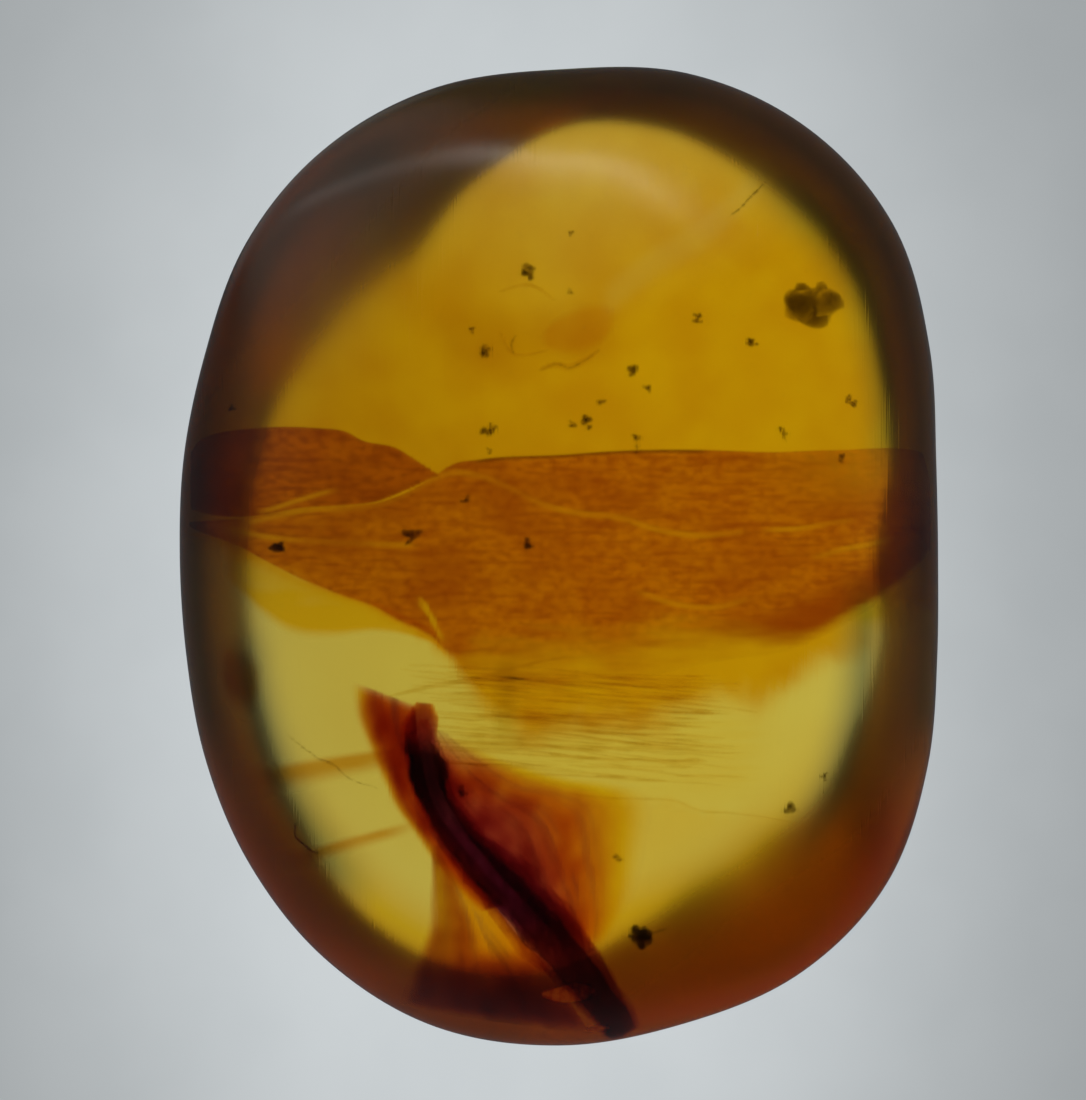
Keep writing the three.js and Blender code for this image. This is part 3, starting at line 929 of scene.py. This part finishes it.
for name, inner, outer, thickness, slot, absorbed, fibres, top_edge, clean in (
    ("bract_left", LEFT_INNER, LEFT_OUTER, left_thickness, "bract", SCALE_ABSORBED, 5, 0.05, 0.35),
    ("bract_right", RIGHT_INNER, RIGHT_OUTER, right_thickness, "bract", SCALE_ABSORBED, 9, 0.30, 0.5),
    ("bract_base", BASE_INNER, BASE_OUTER, base_thickness, "bract_base", STRIP_ABSORBED, 7, 0.15, None),
):
    finish = scale_finish(name + "_finish", absorbed, fibres, top_edge, clean)
    bract = make_piece(name + "_scale", finish, *scale_between(inner, outer, 44, 64, thickness))
    face_out(bract)
    seat(bract, slot, name)

# %% [markdown]
# Two little flakes of bark lie beside the stem's foot. They are dry and opaque, so they are the only
# inclusions that throw light back: bright orange against the dark resin round them.

# %% Dry flakes
FLAKE_LIFT = 0.12
FLAKES = {
    "orange_flake": (
        [(-0.45, -12.1), (-0.2, -12.22), (0.1, -12.27), (0.45, -12.25), (0.8, -12.15), (1.0, -11.95)],
        [(-0.45, -12.0), (-0.2, -11.9), (0.1, -11.82), (0.45, -11.72), (0.8, -11.78), (1.0, -11.9)],
    ),
    "small_flake": (
        [(0.75, -13.08), (0.95, -13.12), (1.2, -13.08), (1.4, -13.02)],
        [(0.75, -13.02), (0.95, -12.95), (1.2, -12.92), (1.4, -12.98)],
    ),
}


def flake_thickness(x, y, share):
    """Thickest in the middle."""
    return 0.1 * math.sin(math.pi * share) + 0.01


flake_finish, tree, shader = new_finish("dry_flake")
colour = mottled(tree, place_in_mm(tree)[0], 0.15, 0.3, 0.7,
                 (0.75, 0.22, 0.06), (0.95, 0.45, 0.15), detail=3.0)
fill(tree, shader, {"Base Color": colour, "Roughness": 0.9, "Specular IOR Level": 0.0})
for name, (low_edge, high_edge) in FLAKES.items():
    points, faces, _ = sheet_between(low_edge, high_edge, 24, 12, flake_thickness, lambda x, y: FLAKE_LIFT)
    flake = make_piece(name, flake_finish, points, faces)
    seat(flake, "bract")

# %% [markdown]
# ## Debris
# Grains of dust and bits of bark are repeated many times, so Geometry Nodes make them. One tree turns each
# point of a start mesh into a loose clump of lumps. Light passes between the lumps, so a clump looks soft
# at its edge, as a bit of debris does. The tree's sizes are named inputs, and a fixed seed makes every run
# the same.

# %% Helpers for Geometry Nodes
INPUT_KINDS = {float: "NodeSocketFloat", int: "NodeSocketInt", bpy.types.Material: "NodeSocketMaterial"}


def begin_tree(name, **kinds):
    """A new Geometry Nodes tree with a start shape and named inputs. Gives the tree and its inputs."""
    tree = bpy.data.node_groups.new(name, "GeometryNodeTree")
    tree.interface.new_socket("Start", in_out="INPUT", socket_type="NodeSocketGeometry")
    for label, kind in kinds.items():
        tree.interface.new_socket(label, in_out="INPUT", socket_type=INPUT_KINDS[kind])
    tree.interface.new_socket("Made", in_out="OUTPUT", socket_type="NodeSocketGeometry")
    return tree, tree.nodes.new("NodeGroupInput").outputs


def end_tree(tree, shape, finish):
    """Makes the instances real, gives them their finish, and ends the tree."""
    real = add(tree, "GeometryNodeRealizeInstances", {"Geometry": shape}).outputs[0]
    smooth = add(tree, "GeometryNodeSetShadeSmooth", {"Geometry": real}).outputs[0]
    done = add(tree, "GeometryNodeSetMaterial", {"Geometry": smooth, "Material": finish}).outputs[0]
    tree.links.new(done, tree.nodes.new("NodeGroupOutput").inputs[0])


def random_value(tree, low, high, seed, salt):
    """A random number, or a random vector where low is one, that depends on a seed input."""
    kind = "FLOAT_VECTOR" if isinstance(low, tuple) else "FLOAT"
    made = add(tree, "FunctionNodeRandomValue", data_type=kind)
    open_inputs = [socket for socket in made.inputs if socket.enabled]
    open_inputs[0].default_value = low
    open_inputs[1].default_value = high
    tree.links.new(work_out(tree, "ADD", seed, salt), made.inputs["Seed"])
    return [socket for socket in made.outputs if socket.enabled][0]


def grow(name, tree, points, links, widths, **values):
    """Runs a tree on points in millimetres and their links, and keeps what it makes as a plain piece."""
    start = bpy.data.meshes.new(name + "_start")
    start.from_pydata([Vector(point) * MM for point in points], links, [])
    size = start.attributes.new("width", "FLOAT", "POINT")
    size.data.foreach_set("value", [width * MM for width in widths])
    seedling = bpy.data.objects.new(name + "_start", start)
    bpy.context.scene.collection.objects.link(seedling)
    run = seedling.modifiers.new("run", "NODES")
    run.node_group = tree
    for socket in tree.interface.items_tree:
        if socket.in_out == "INPUT" and socket.name in values:
            run[socket.identifier] = values[socket.name]
    seen = seedling.evaluated_get(bpy.context.evaluated_depsgraph_get())
    piece = bpy.data.objects.new(name, bpy.data.meshes.new_from_object(seen))
    bpy.context.scene.collection.objects.link(piece)
    seedling.modifiers.remove(run)
    bpy.data.objects.remove(seedling)
    print(name, "has", len(piece.data.polygons), "faces")
    return piece

# %% The clump tree
NO_TURN = (0.0, 0.0, 0.0)
FULL_TURN = (6.28, 6.28, 6.28)

clump_tree, given = begin_tree("clump", Lumps=int, LumpSize=float, Seed=int, Finish=bpy.types.Material)
tree, seed = clump_tree, given["Seed"]
direction = random_value(tree, (-1.0, -1.0, -1.0), (1.0, 1.0, 1.0), seed, 1)
direction = work_out_vector(tree, "NORMALIZE", direction)
reach = work_out(tree, "POWER", random_value(tree, 0.0, 1.0, seed, 2), 0.6)
spots = add(tree, "GeometryNodePoints", {"Count": given["Lumps"], "Position": scaled(tree, direction, reach)})
ball = add(tree, "GeometryNodeMeshIcoSphere", {"Radius": given["LumpSize"], "Subdivisions": 2}).outputs[0]
position = add(tree, "GeometryNodeInputPosition").outputs[0]
uneven = add(tree, "ShaderNodeTexNoise", {"Vector": position, "Scale": 3.0}).outputs[0]
swell = times(tree, work_out(tree, "MULTIPLY_ADD", uneven, 1.6, -0.8), given["LumpSize"])
push = scaled(tree, add(tree, "GeometryNodeInputNormal").outputs[0], swell)
lump = add(tree, "GeometryNodeSetPosition", {"Geometry": ball, "Offset": push}).outputs[0]
clump = add(tree, "GeometryNodeInstanceOnPoints", {
    "Points": spots.outputs[0], "Instance": lump,
    "Scale": random_value(tree, (0.5, 0.5, 0.5), (1.3, 1.3, 1.3), seed, 3),
    "Rotation": random_value(tree, NO_TURN, FULL_TURN, seed, 4),
}).outputs[0]
width = add(tree, "GeometryNodeInputNamedAttribute", {"Name": "width"}).outputs[0]
placed = add(tree, "GeometryNodeInstanceOnPoints", {
    "Points": given["Start"], "Instance": clump, "Scale": width,
    "Rotation": random_value(tree, NO_TURN, FULL_TURN, seed, 5),
}).outputs[0]
end_tree(tree, placed, given["Finish"])

# %% [markdown]
# The debris is soaked too, and lets some olive-brown light through. It absorbs along the way, so a clump is
# dark in its middle and soft at its thin edge. The largest bit is the loosest, so its finish absorbs least.

# %% The debris finish
def debris_finish(name, absorbed, dark):
    """Soaked dust that absorbs that much light in each millimetre. dark is the colour of its speckles."""
    finish, tree, shader = see_through(name, SAME_AS_RESIN, absorbed)
    speckled = mottled(tree, place_in_mm(tree)[0], 0.12, 0.35, 0.65, dark, CLEAR, detail=3.0)
    fill(tree, shader, {"Base Color": speckled})
    return finish


debris = debris_finish("soaked_debris", (10.0, 11.0, 14.0), (0.70, 0.66, 0.55))
loose_debris = debris_finish("loose_debris", (2.1, 2.3, 3.2), (0.96, 0.95, 0.93))

# %% The grains that the CAD places, and fine dust between them
# Each grain or speck of dust is its x, its y and its width.
GRAINS = [
    (6.75, 6.82, 0.72), (-0.95, 7.85, 0.22), (-2.1, 5.65, 0.18), (2.05, 5.15, 0.18), (0.75, 3.75, 0.2),
    (-1.95, 3.5, 0.2), (5.2, 5.9, 0.16), (6.25, -6.9, 0.17), (2.3, -10.45, 0.3), (7.9, 4.35, 0.15),
    (3.75, 6.55, 0.15),
]
DUST = [
    (0.27, 8.9, 0.09), (0.25, 7.28, 0.10), (-2.45, 6.26, 0.12), (1.15, 4.27, 0.13), (0.33, 3.64, 0.12),
    (-1.93, 2.95, 0.10), (2.08, 3.31, 0.13), (6.0, 3.52, 0.14), (7.62, 2.8, 0.14), (-4.06, 0.63, 0.26),
    (-7.65, 0.28, 0.28), (-2.56, 1.6, 0.14), (-0.88, 0.34, 0.2), (1.62, -8.24, 0.13), (7.16, -6.12, 0.12),
    (-8.91, 4.18, 0.12), (2.41, 4.65, 0.13), (-2.65, -6.44, 0.16),
]
for number, (x, y, width) in enumerate(GRAINS, 1):
    lumps, lump_size, finish = 12, 0.4, debris
    if width > 0.5:
        lumps, lump_size, finish = 6, 0.66, loose_debris
    elif width > 0.25:
        lumps = 26
    grain = grow("grain_" + str(number), clump_tree, [(x, y, PARTING)], [], [width],
                 Lumps=lumps, LumpSize=lump_size, Seed=10 * number, Finish=finish)
    seat(grain, "debris", "speck_" + str(number))
dust_points = [(x, y, PARTING + 0.5 * noise.noise((3 * x, 3 * y, 0))) for x, y, width in DUST]
dust = grow("fine_dust", clump_tree, dust_points, [], [width for x, y, width in DUST],
            Lumps=9, LumpSize=0.42, Seed=5, Finish=debris)
seat(dust, "debris")

# %% [markdown]
# ## Hairs and threads
# A plant hair, a fibre and the fine lines where resin flowed are all thin strands along a path. One tree
# makes them: it turns linked points into a curve, spaces its points evenly, lets it waver, and sweeps a
# small circle along it whose radius is the width stored on each point.

# %% The strand tree
DRIFT_SCALE = 1500.0
ROUTE_STEPS = 24
TIP_SHARE = 0.02

strand_tree, given = begin_tree("strand", Points=int, Waver=float, Lumpiness=float, Seed=int,
                                Finish=bpy.types.Material)
tree, seed = strand_tree, given["Seed"]
path = add(tree, "GeometryNodeMeshToCurve", {"Mesh": given["Start"]}).outputs[0]
path = add(tree, "GeometryNodeResampleCurve", {"Curve": path, "Count": given["Points"]}).outputs[0]
spot = add(tree, "GeometryNodeInputPosition").outputs[0]
shift = scaled(tree, (1.0, 2.0, 3.0), seed)
shifted = work_out_vector(tree, "ADD", spot, shift)
drift = add(tree, "ShaderNodeTexNoise", {"Vector": shifted, "Scale": DRIFT_SCALE}).outputs[1]
centred = work_out_vector(tree, "SUBTRACT", drift, (0.5, 0.5, 0.5))
waver = scaled(tree, centred, given["Waver"])
path = add(tree, "GeometryNodeSetPosition", {"Geometry": path, "Offset": waver}).outputs[0]
width = add(tree, "GeometryNodeInputNamedAttribute", {"Name": "width"}).outputs[0]
lumpy = work_out(tree, "MULTIPLY_ADD", random_value(tree, -1.0, 1.0, seed, 1), given["Lumpiness"], 1.0)
circle = add(tree, "GeometryNodeCurvePrimitiveCircle", {"Resolution": 6, "Radius": 1.0}).outputs[0]
swept = add(tree, "GeometryNodeCurveToMesh", {
    "Curve": path, "Profile Curve": circle, "Scale": times(tree, width, lumpy), "Fill Caps": True,
}).outputs[0]
end_tree(tree, swept, given["Finish"])


def strands(name, routes, slot, finish, points, waver=0.0, lumpiness=0.0):
    """Strands along routes of x, y, radius and height, each tapered to its ends, as one piece."""
    spots = []
    links = []
    widths = []
    for route in routes:
        for step in range(ROUTE_STEPS + 1):
            share = step / ROUTE_STEPS
            x, y, radius, z = point_along(route, share)
            taper = math.sqrt(math.sin(math.pi * min(max(share, TIP_SHARE), 1 - TIP_SHARE)))
            if step:
                links.append((len(spots) - 1, len(spots)))
            spots.append((x, y, z))
            widths.append(radius * taper)
    piece = grow(name, strand_tree, spots, links, widths, Points=points, Waver=waver * MM,
                 Lumpiness=lumpiness, Seed=1, Finish=finish)
    seat(piece, slot)


def level(route, radius):
    """A route of one radius, at the height of the parting plane."""
    return [(x, y, radius, PARTING) for x, y in route]

# %% [markdown]
# The black hair is opaque, and the loose fibres have the finish of the debris. The flow lines are resin of
# a browner tint, so they are see-through, and each one only dims the light that crosses it. They lie nearly
# level, and each is a short piece of a line with its own middle, length, slope and bend. The random numbers
# that set those come from one seed.

# %% Hairs, fibres and flow lines
HAIR = [(-7.18, -7.33), (-7.18, -7.7), (-6.97, -7.92), (-6.77, -8.1), (-6.55, -8.12)]
FIBRE = [(-7.36, -4.9), (-7.03, -5.17), (-6.71, -5.44), (-6.22, -5.66), (-5.71, -6.03), (-4.89, -6.36)]
CURVED_HAIR = [(-0.6, 5.15), (-0.2, 5.28), (0.26, 5.22), (0.7, 5.42), (1.09, 5.69)]
SHORT_HAIRS = [
    [(2.08, 3.3), (2.1, 3.0), (2.05, 2.85)], [(6.0, 3.5), (6.1, 3.2)],
    [(2.3, -10.4), (2.8, -10.25), (3.1, -10.2)],
    [(-1.3, 5.55), (-1.35, 5.85), (-1.2, 6.1)], [(5.63, 10.32), (5.15, 9.83), (4.65, 9.35)],
]
FAINT_ARCS = [[(-1.69, 7.3), (-0.87, 7.48), (-0.17, 7.05)], [(-0.36, 5.7), (-1.27, 5.57), (-1.7, 6.2)]]
UNDER_LEAF = [
    (-4.9, -3.9), (-4.06, -3.68), (-3.25, -3.5), (-2.44, -3.38), (-1.63, -3.16), (-0.81, -2.94),
    (0.2, -2.75),
]
strands("black_hair", [level(HAIR, 0.028)], "debris", wood, 40, waver=0.1)
fibres = [level(FIBRE, 0.022), level(CURVED_HAIR, 0.025)] + [level(hair, 0.03) for hair in SHORT_HAIRS]
strands("loose_fibres", fibres, "debris", debris, 40, waver=0.2, lumpiness=0.5)

flow_line, tree, shader = see_through("flow_line_resin", SAME_AS_RESIN)
colour = mottled(tree, place_in_mm(tree)[0], 0.6, 0.3, 0.7,
                 (0.87, 0.78, 0.55), (0.95, 0.89, 0.76), detail=1.0)
fill(tree, shader, {"Base Color": colour})
flow_random = random.Random(4)
flow_routes = []
for number in range(260):
    centre_x = flow_random.uniform(-2.9, 4.2)
    centre_y = flow_random.uniform(-6.0, -3.1) - 0.06 * centre_x
    half = flow_random.uniform(0.4, 2.4) * (1 - 0.1 * abs(centre_x - 0.3))
    slope = flow_random.uniform(-0.14, -0.02)
    bend = flow_random.uniform(-0.03, 0.03)
    radius = flow_random.uniform(0.012, 0.035)
    height = PARTING + flow_random.uniform(-0.5, 0.5)
    flow_routes.append([
        (centre_x + half * t, centre_y + slope * half * t + bend * t * t, radius, height)
        for t in (-1, -0.5, 0, 0.5, 1)
    ])
flow_routes.append(level(UNDER_LEAF, 0.07))
flow_routes.append(level(LOWER_FLOW_EDGE, 0.03))
flow_routes.extend(level(arc, 0.05) for arc in FAINT_ARCS)
flow_routes.append(level(CURVED_HAIR, 0.1))
strands("flow_lines", flow_routes, "amber", flow_line, 24, waver=0.06)

# %% [markdown]
# ## Layers in the resin
# Where one flow of resin dried before the next came, a browner skin stayed between them. Such a skin is
# made as the leaf is: a thin, clear sheet that tints what is seen through it, with edges that fade out.

# %% Thin tinted layers
LAYER_THICKNESS = 0.02
LAYER_TURN = math.radians(6)


def layer(name, low_edge, high_edge, tint, soft_low, soft_high, soft_ends,
          patch=(0.8, (3, 1, 1), 0.8), up=0.0):
    """A tinted sheet between two edges. Each soft value is the share of it over which that edge fades. patch
    holds the size, stretch and strength of its patches, and up is how far it lies above the parting."""
    finish, tree, shader = see_through(name + "_tint", SAME_AS_RESIN)
    _, along, across = read_shares(tree)
    middle = between(tree, across, 0.0, soft_low, 1 - soft_high, 1.0)
    middle = times(tree, middle, between(tree, along, 0.0, soft_ends, 1 - soft_ends, 1.0))
    size, stretch, strength = patch
    patches = cloud(tree, place_in_mm(tree)[0], size, stretch=stretch, turn=LAYER_TURN)
    patchy = work_out(tree, "MULTIPLY_ADD", patches, strength, 1 - strength / 2)
    seen = add(tree, "ShaderNodeMath", {0: middle, 1: patchy}, operation="MULTIPLY", use_clamp=True)
    fill(tree, shader, {"Base Color": blend_colour(tree, seen.outputs[0], CLEAR, tint)})
    sheet = sheet_between(low_edge, high_edge, 60, 16, lambda x, y, share: LAYER_THICKNESS, lambda x, y: up)
    seat(make_piece(name, finish, *sheet), "amber")


layer("flow_skin_lobe",
      [(-9.2, -0.6), (-8.55, -1.2), (-8.05, -1.7), (-7.3, -2.2), (-6.2, -2.3), (-4.9, -2.12), (-3.5, -2.4),
       (-2.9, -3.0)],
      [(-9.2, 0.6), (-8.0, 0.2), (-7.0, -0.35), (-5.9, -0.8), (-5.0, -1.15), (-4.3, -1.5), (-3.4, -2.0),
       (-2.9, -2.6)],
      (0.95, 0.70, 0.06), 0.25, 0.2, 0.06)
layer("flow_band_high",
      [(-9.0, -6.9), (-8.0, -6.7), (-6.6, -6.35), (-4.6, -5.9), (-3.6, -5.6)],
      [(-9.0, -5.6), (-8.0, -5.65), (-6.6, -5.45), (-4.6, -5.15), (-3.6, -5.0)],
      (0.80, 0.52, 0.16), 0.6, 0.3, 0.3)
layer("flow_band_low",
      [(-7.8, -8.9), (-6.8, -8.6), (-5.6, -8.15), (-4.3, -7.75), (-3.6, -7.5)],
      [(-7.8, -8.15), (-6.8, -7.95), (-5.6, -7.6), (-4.3, -7.25), (-3.6, -7.1)],
      (0.80, 0.50, 0.15), 0.6, 0.35, 0.3)
layer("oval_scale",
      [(-0.6, 6.0), (-0.3, 5.66), (0.2, 5.48), (0.7, 5.55), (1.15, 5.8), (1.45, 6.2), (1.58, 6.55)],
      [(-0.6, 6.1), (-0.25, 6.5), (0.2, 6.82), (0.7, 7.03), (1.15, 7.02), (1.45, 6.85), (1.58, 6.62)],
      (0.96, 0.84, 0.66), 0.25, 0.25, 0.15)
layer("olive_smudge",
      [(-2.0, -5.2), (-1.5, -5.3), (-1.0, -5.2)],
      [(-2.0, -2.9), (-1.5, -2.6), (-1.0, -2.8)],
      (0.84, 0.80, 0.55), 0.3, 0.2, 0.45, up=0.3)
layer("left_flow",
      [(-9.4, -3.6), (-8.9, -4.4), (-8.4, -4.5), (-8.0, -3.9)],
      [(-9.4, -2.4), (-8.9, -2.1), (-8.4, -2.4), (-8.0, -3.0)],
      (0.60, 0.36, 0.12), 0.4, 0.4, 0.3)
layer("streaked_flow",
      [(-3.3, -6.8), (0.0, -6.9), (3.0, -7.0), (6.0, -7.2)],
      [(-3.3, -3.4), (0.0, -3.6), (3.0, -3.8), (6.0, -4.0)],
      (0.985, 0.94, 0.78), 0.35, 0.35, 0.15, (0.16, (28, 1, 6), 3.0), up=-0.3)

# %% [markdown]
# ## The stage
# Light comes up through the stone from a lit patch of table a little wider than the stone, and the room
# beyond it is dim, which is why the stone's rim, where light is thrown sideways, is dark. The camera
# doesn't see that table. It sees a pale floor just below, which lights nothing, so its brightness can be
# set apart from the table's. The floor's glow is a painted pool of light: brightest round the stone and
# dimmer farther out, with a faint mottle.

# %% The floor and the light table
FLOOR_DROP = 0.03
TABLE_GLOW = 0.645
GLOW_MIDDLE = (-1.0, 4.5, 0.0)
GLOW_REACH = 16.0
GLOW_END = 30.0


def stage_plane(name, half_size, height):
    """A square plane that belongs to the stage, with the tree and the main shader of its finish."""
    corners = [(x * half_size, y * half_size, height) for x, y in ((-1, -1), (1, -1), (1, 1), (-1, 1))]
    finish, tree, shader = new_finish(name)
    plane = make_piece(name, finish, corners, [(0, 1, 2, 3)])
    plane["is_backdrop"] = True
    return plane, tree, shader


floor, tree, shader = stage_plane("floor", 900, -2 * FLOOR_DROP)
place, _, _, _ = place_in_mm(tree)
mottle = mottled(tree, place, 6.0, 0.3, 0.7, (0.515, 0.55, 0.565), (0.545, 0.58, 0.595), detail=3.0)
# A painted pool of light: the floor's glow is strongest near the stone and dims farther out.
centred = add(tree, "ShaderNodeMapping", {"Vector": place, "Location": (1.6, 1.5, 0), "Scale": (1, 0.5, 0)})
away = work_out_vector(tree, "LENGTH", centred.outputs[0])
fill(tree, shader, {
    "Emission Color": mottle, "Emission Strength": ramp(tree, away, 5.0, 20.0, 1.08, 0.64),
    "Base Color": (0.05, 0.05, 0.05, 1), "Specular IOR Level": 0.0,
})
for kind in ("diffuse", "glossy", "transmission", "shadow", "volume_scatter"):
    setattr(floor, "visible_" + kind, False)

table, tree, shader = stage_plane("light_table", 200, -FLOOR_DROP)
away = work_out_vector(tree, "DISTANCE", place_in_mm(tree)[0], GLOW_MIDDLE)
glow = ramp(tree, away, GLOW_REACH, GLOW_END, TABLE_GLOW, 0.0)
fill(tree, shader, {
    "Emission Color": (0.96, 1.0, 1.04, 1), "Emission Strength": glow,
    "Base Color": (0.1, 0.1, 0.1, 1), "Specular IOR Level": 0.0,
})
table.visible_camera = False
table.visible_glossy = False

# %% [markdown]
# The room is brightest near the horizon, and warm on the lamps' side, where its light crosses the whole
# stone and leaves it again at the lower right as a red glow. Its soft lamps are drawn in the room's own
# light, as three glowing patches, since all they have to do is to be mirrored in the polish. A long, narrow
# one beyond the stone's top end draws the thin arc of light on its shoulder, a broad, dim one beside it
# lays a haze over the dark rim, and a low one brightens the steep edge there. The light path tells what a
# ray did last: rays that went through the stone, rays that were mirrored by it, and the camera's own each
# see their part of the room.

# %% The room and its lamps
ROOM_FAR = (0.02, 0.015, 0.012)
ROOM_WARM = (0.22, 0.13, 0.06)
ROOM_ABOVE = (0.60, 0.60, 0.60)
CEILING = (0.008, 0.009, 0.010)
HORIZON = (0.10, 0.105, 0.115)
ROOM_SEEN = (0.45, 0.48, 0.50)
STRIP_LAMP = (3.8, 3.9, 3.8)
HAZE_LAMP = (0.52, 0.53, 0.50)
LOW_LAMP = (0.40, 0.41, 0.42)
STRIP_HEIGHT = 0.70
STRIP_SLOPE = 0.18
STRIP_BEND_START = 0.08
STRIP_HALF_WIDTH = 0.042

scene = bpy.context.scene
scene.view_settings.view_transform = "Standard"
room = bpy.data.worlds.new("room")
scene.world = room
room.use_nodes = True
tree = room.node_tree
look = add(tree, "ShaderNodeTexCoord").outputs["Generated"]
look_x, look_y, look_z = add(tree, "ShaderNodeSeparateXYZ", {0: look}).outputs


def towards(x, y, z):
    """The cosine between the way a ray goes and a direction."""
    return work_out_vector(tree, "DOT_PRODUCT", look, (x, y, z))


strip_bend = work_out(tree, "MAXIMUM", work_out(tree, "SUBTRACT", look_x, STRIP_BEND_START), 0.0)
strip_line = work_out(tree, "MULTIPLY_ADD", look_x, STRIP_SLOPE, STRIP_HEIGHT)
strip_line = work_out(tree, "SUBTRACT", strip_line, strip_bend)
off_strip = work_out(tree, "ABSOLUTE", work_out(tree, "SUBTRACT", look_y, strip_line))
strip = times(tree, ramp_down(tree, off_strip, 0.0, STRIP_HALF_WIDTH), ramp(tree, look_z, 0.2, 0.4),
              ramp(tree, look_x, -0.15, 0.08, 0.26, 1.0), ramp_down(tree, look_x, 0.17, 0.30),
              ramp(tree, look_x, -0.85, -0.6))
haze = ramp(tree, towards(-0.58, 0.68, 0.45), 0.70, 0.96)
low_haze = ramp(tree, towards(-0.62, 0.70, -0.35), 0.82, 0.97)

to_lamps = ramp(tree, towards(-0.10, 0.99, 0.0), 0.0, 1.0)
through = blend_colour(tree, to_lamps, ROOM_FAR, ROOM_WARM)
through = blend_colour(tree, ramp(tree, look_z, 0.5, 0.9), through, ROOM_ABOVE)
mirrored = blend_colour(tree, ramp(tree, look_z, 0.0, 0.75), HORIZON, CEILING)
mirrored = lay_over(tree, mirrored, (haze, HAZE_LAMP), (low_haze, LOW_LAMP), (strip, STRIP_LAMP))
ray = add(tree, "ShaderNodeLightPath").outputs
room_colour = blend_colour(tree, ray["Is Transmission Ray"], mirrored, through)
room_colour = blend_colour(tree, ray["Is Camera Ray"], room_colour, ROOM_SEEN)
fill(tree, tree.nodes["Background"], {0: room_colour})

# %% The camera
CAMERA_PLACE = (-0.47, 0.2, 90.87)
camera_data = bpy.data.cameras.new("camera")
camera_data.lens = 100
camera_data.sensor_width = 36
camera_data.clip_start = MM
camera = bpy.data.objects.new("camera", camera_data)
scene.collection.objects.link(camera)
camera.location = Vector(CAMERA_PLACE) * MM
scene.camera = camera

# %% [markdown]
# Light here takes long ways through many thin layers, so the number of bounces is set here. The table and
# the room are found by the light's own path, and aiming at them as lamps would only cost time, so that is
# turned off.

# %% How light is followed
BOUNCES = 14
scene.cycles.max_bounces = BOUNCES
scene.cycles.transmission_bounces = BOUNCES
room.cycles.sampling_method = "NONE"
for plane in (floor, table):
    plane.data.materials[0].cycles.emission_sampling = "NONE"

# %% The sizes of the CAD frame and of the scene
[[list(corner) for corner in box] for box in (cad_box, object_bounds())]
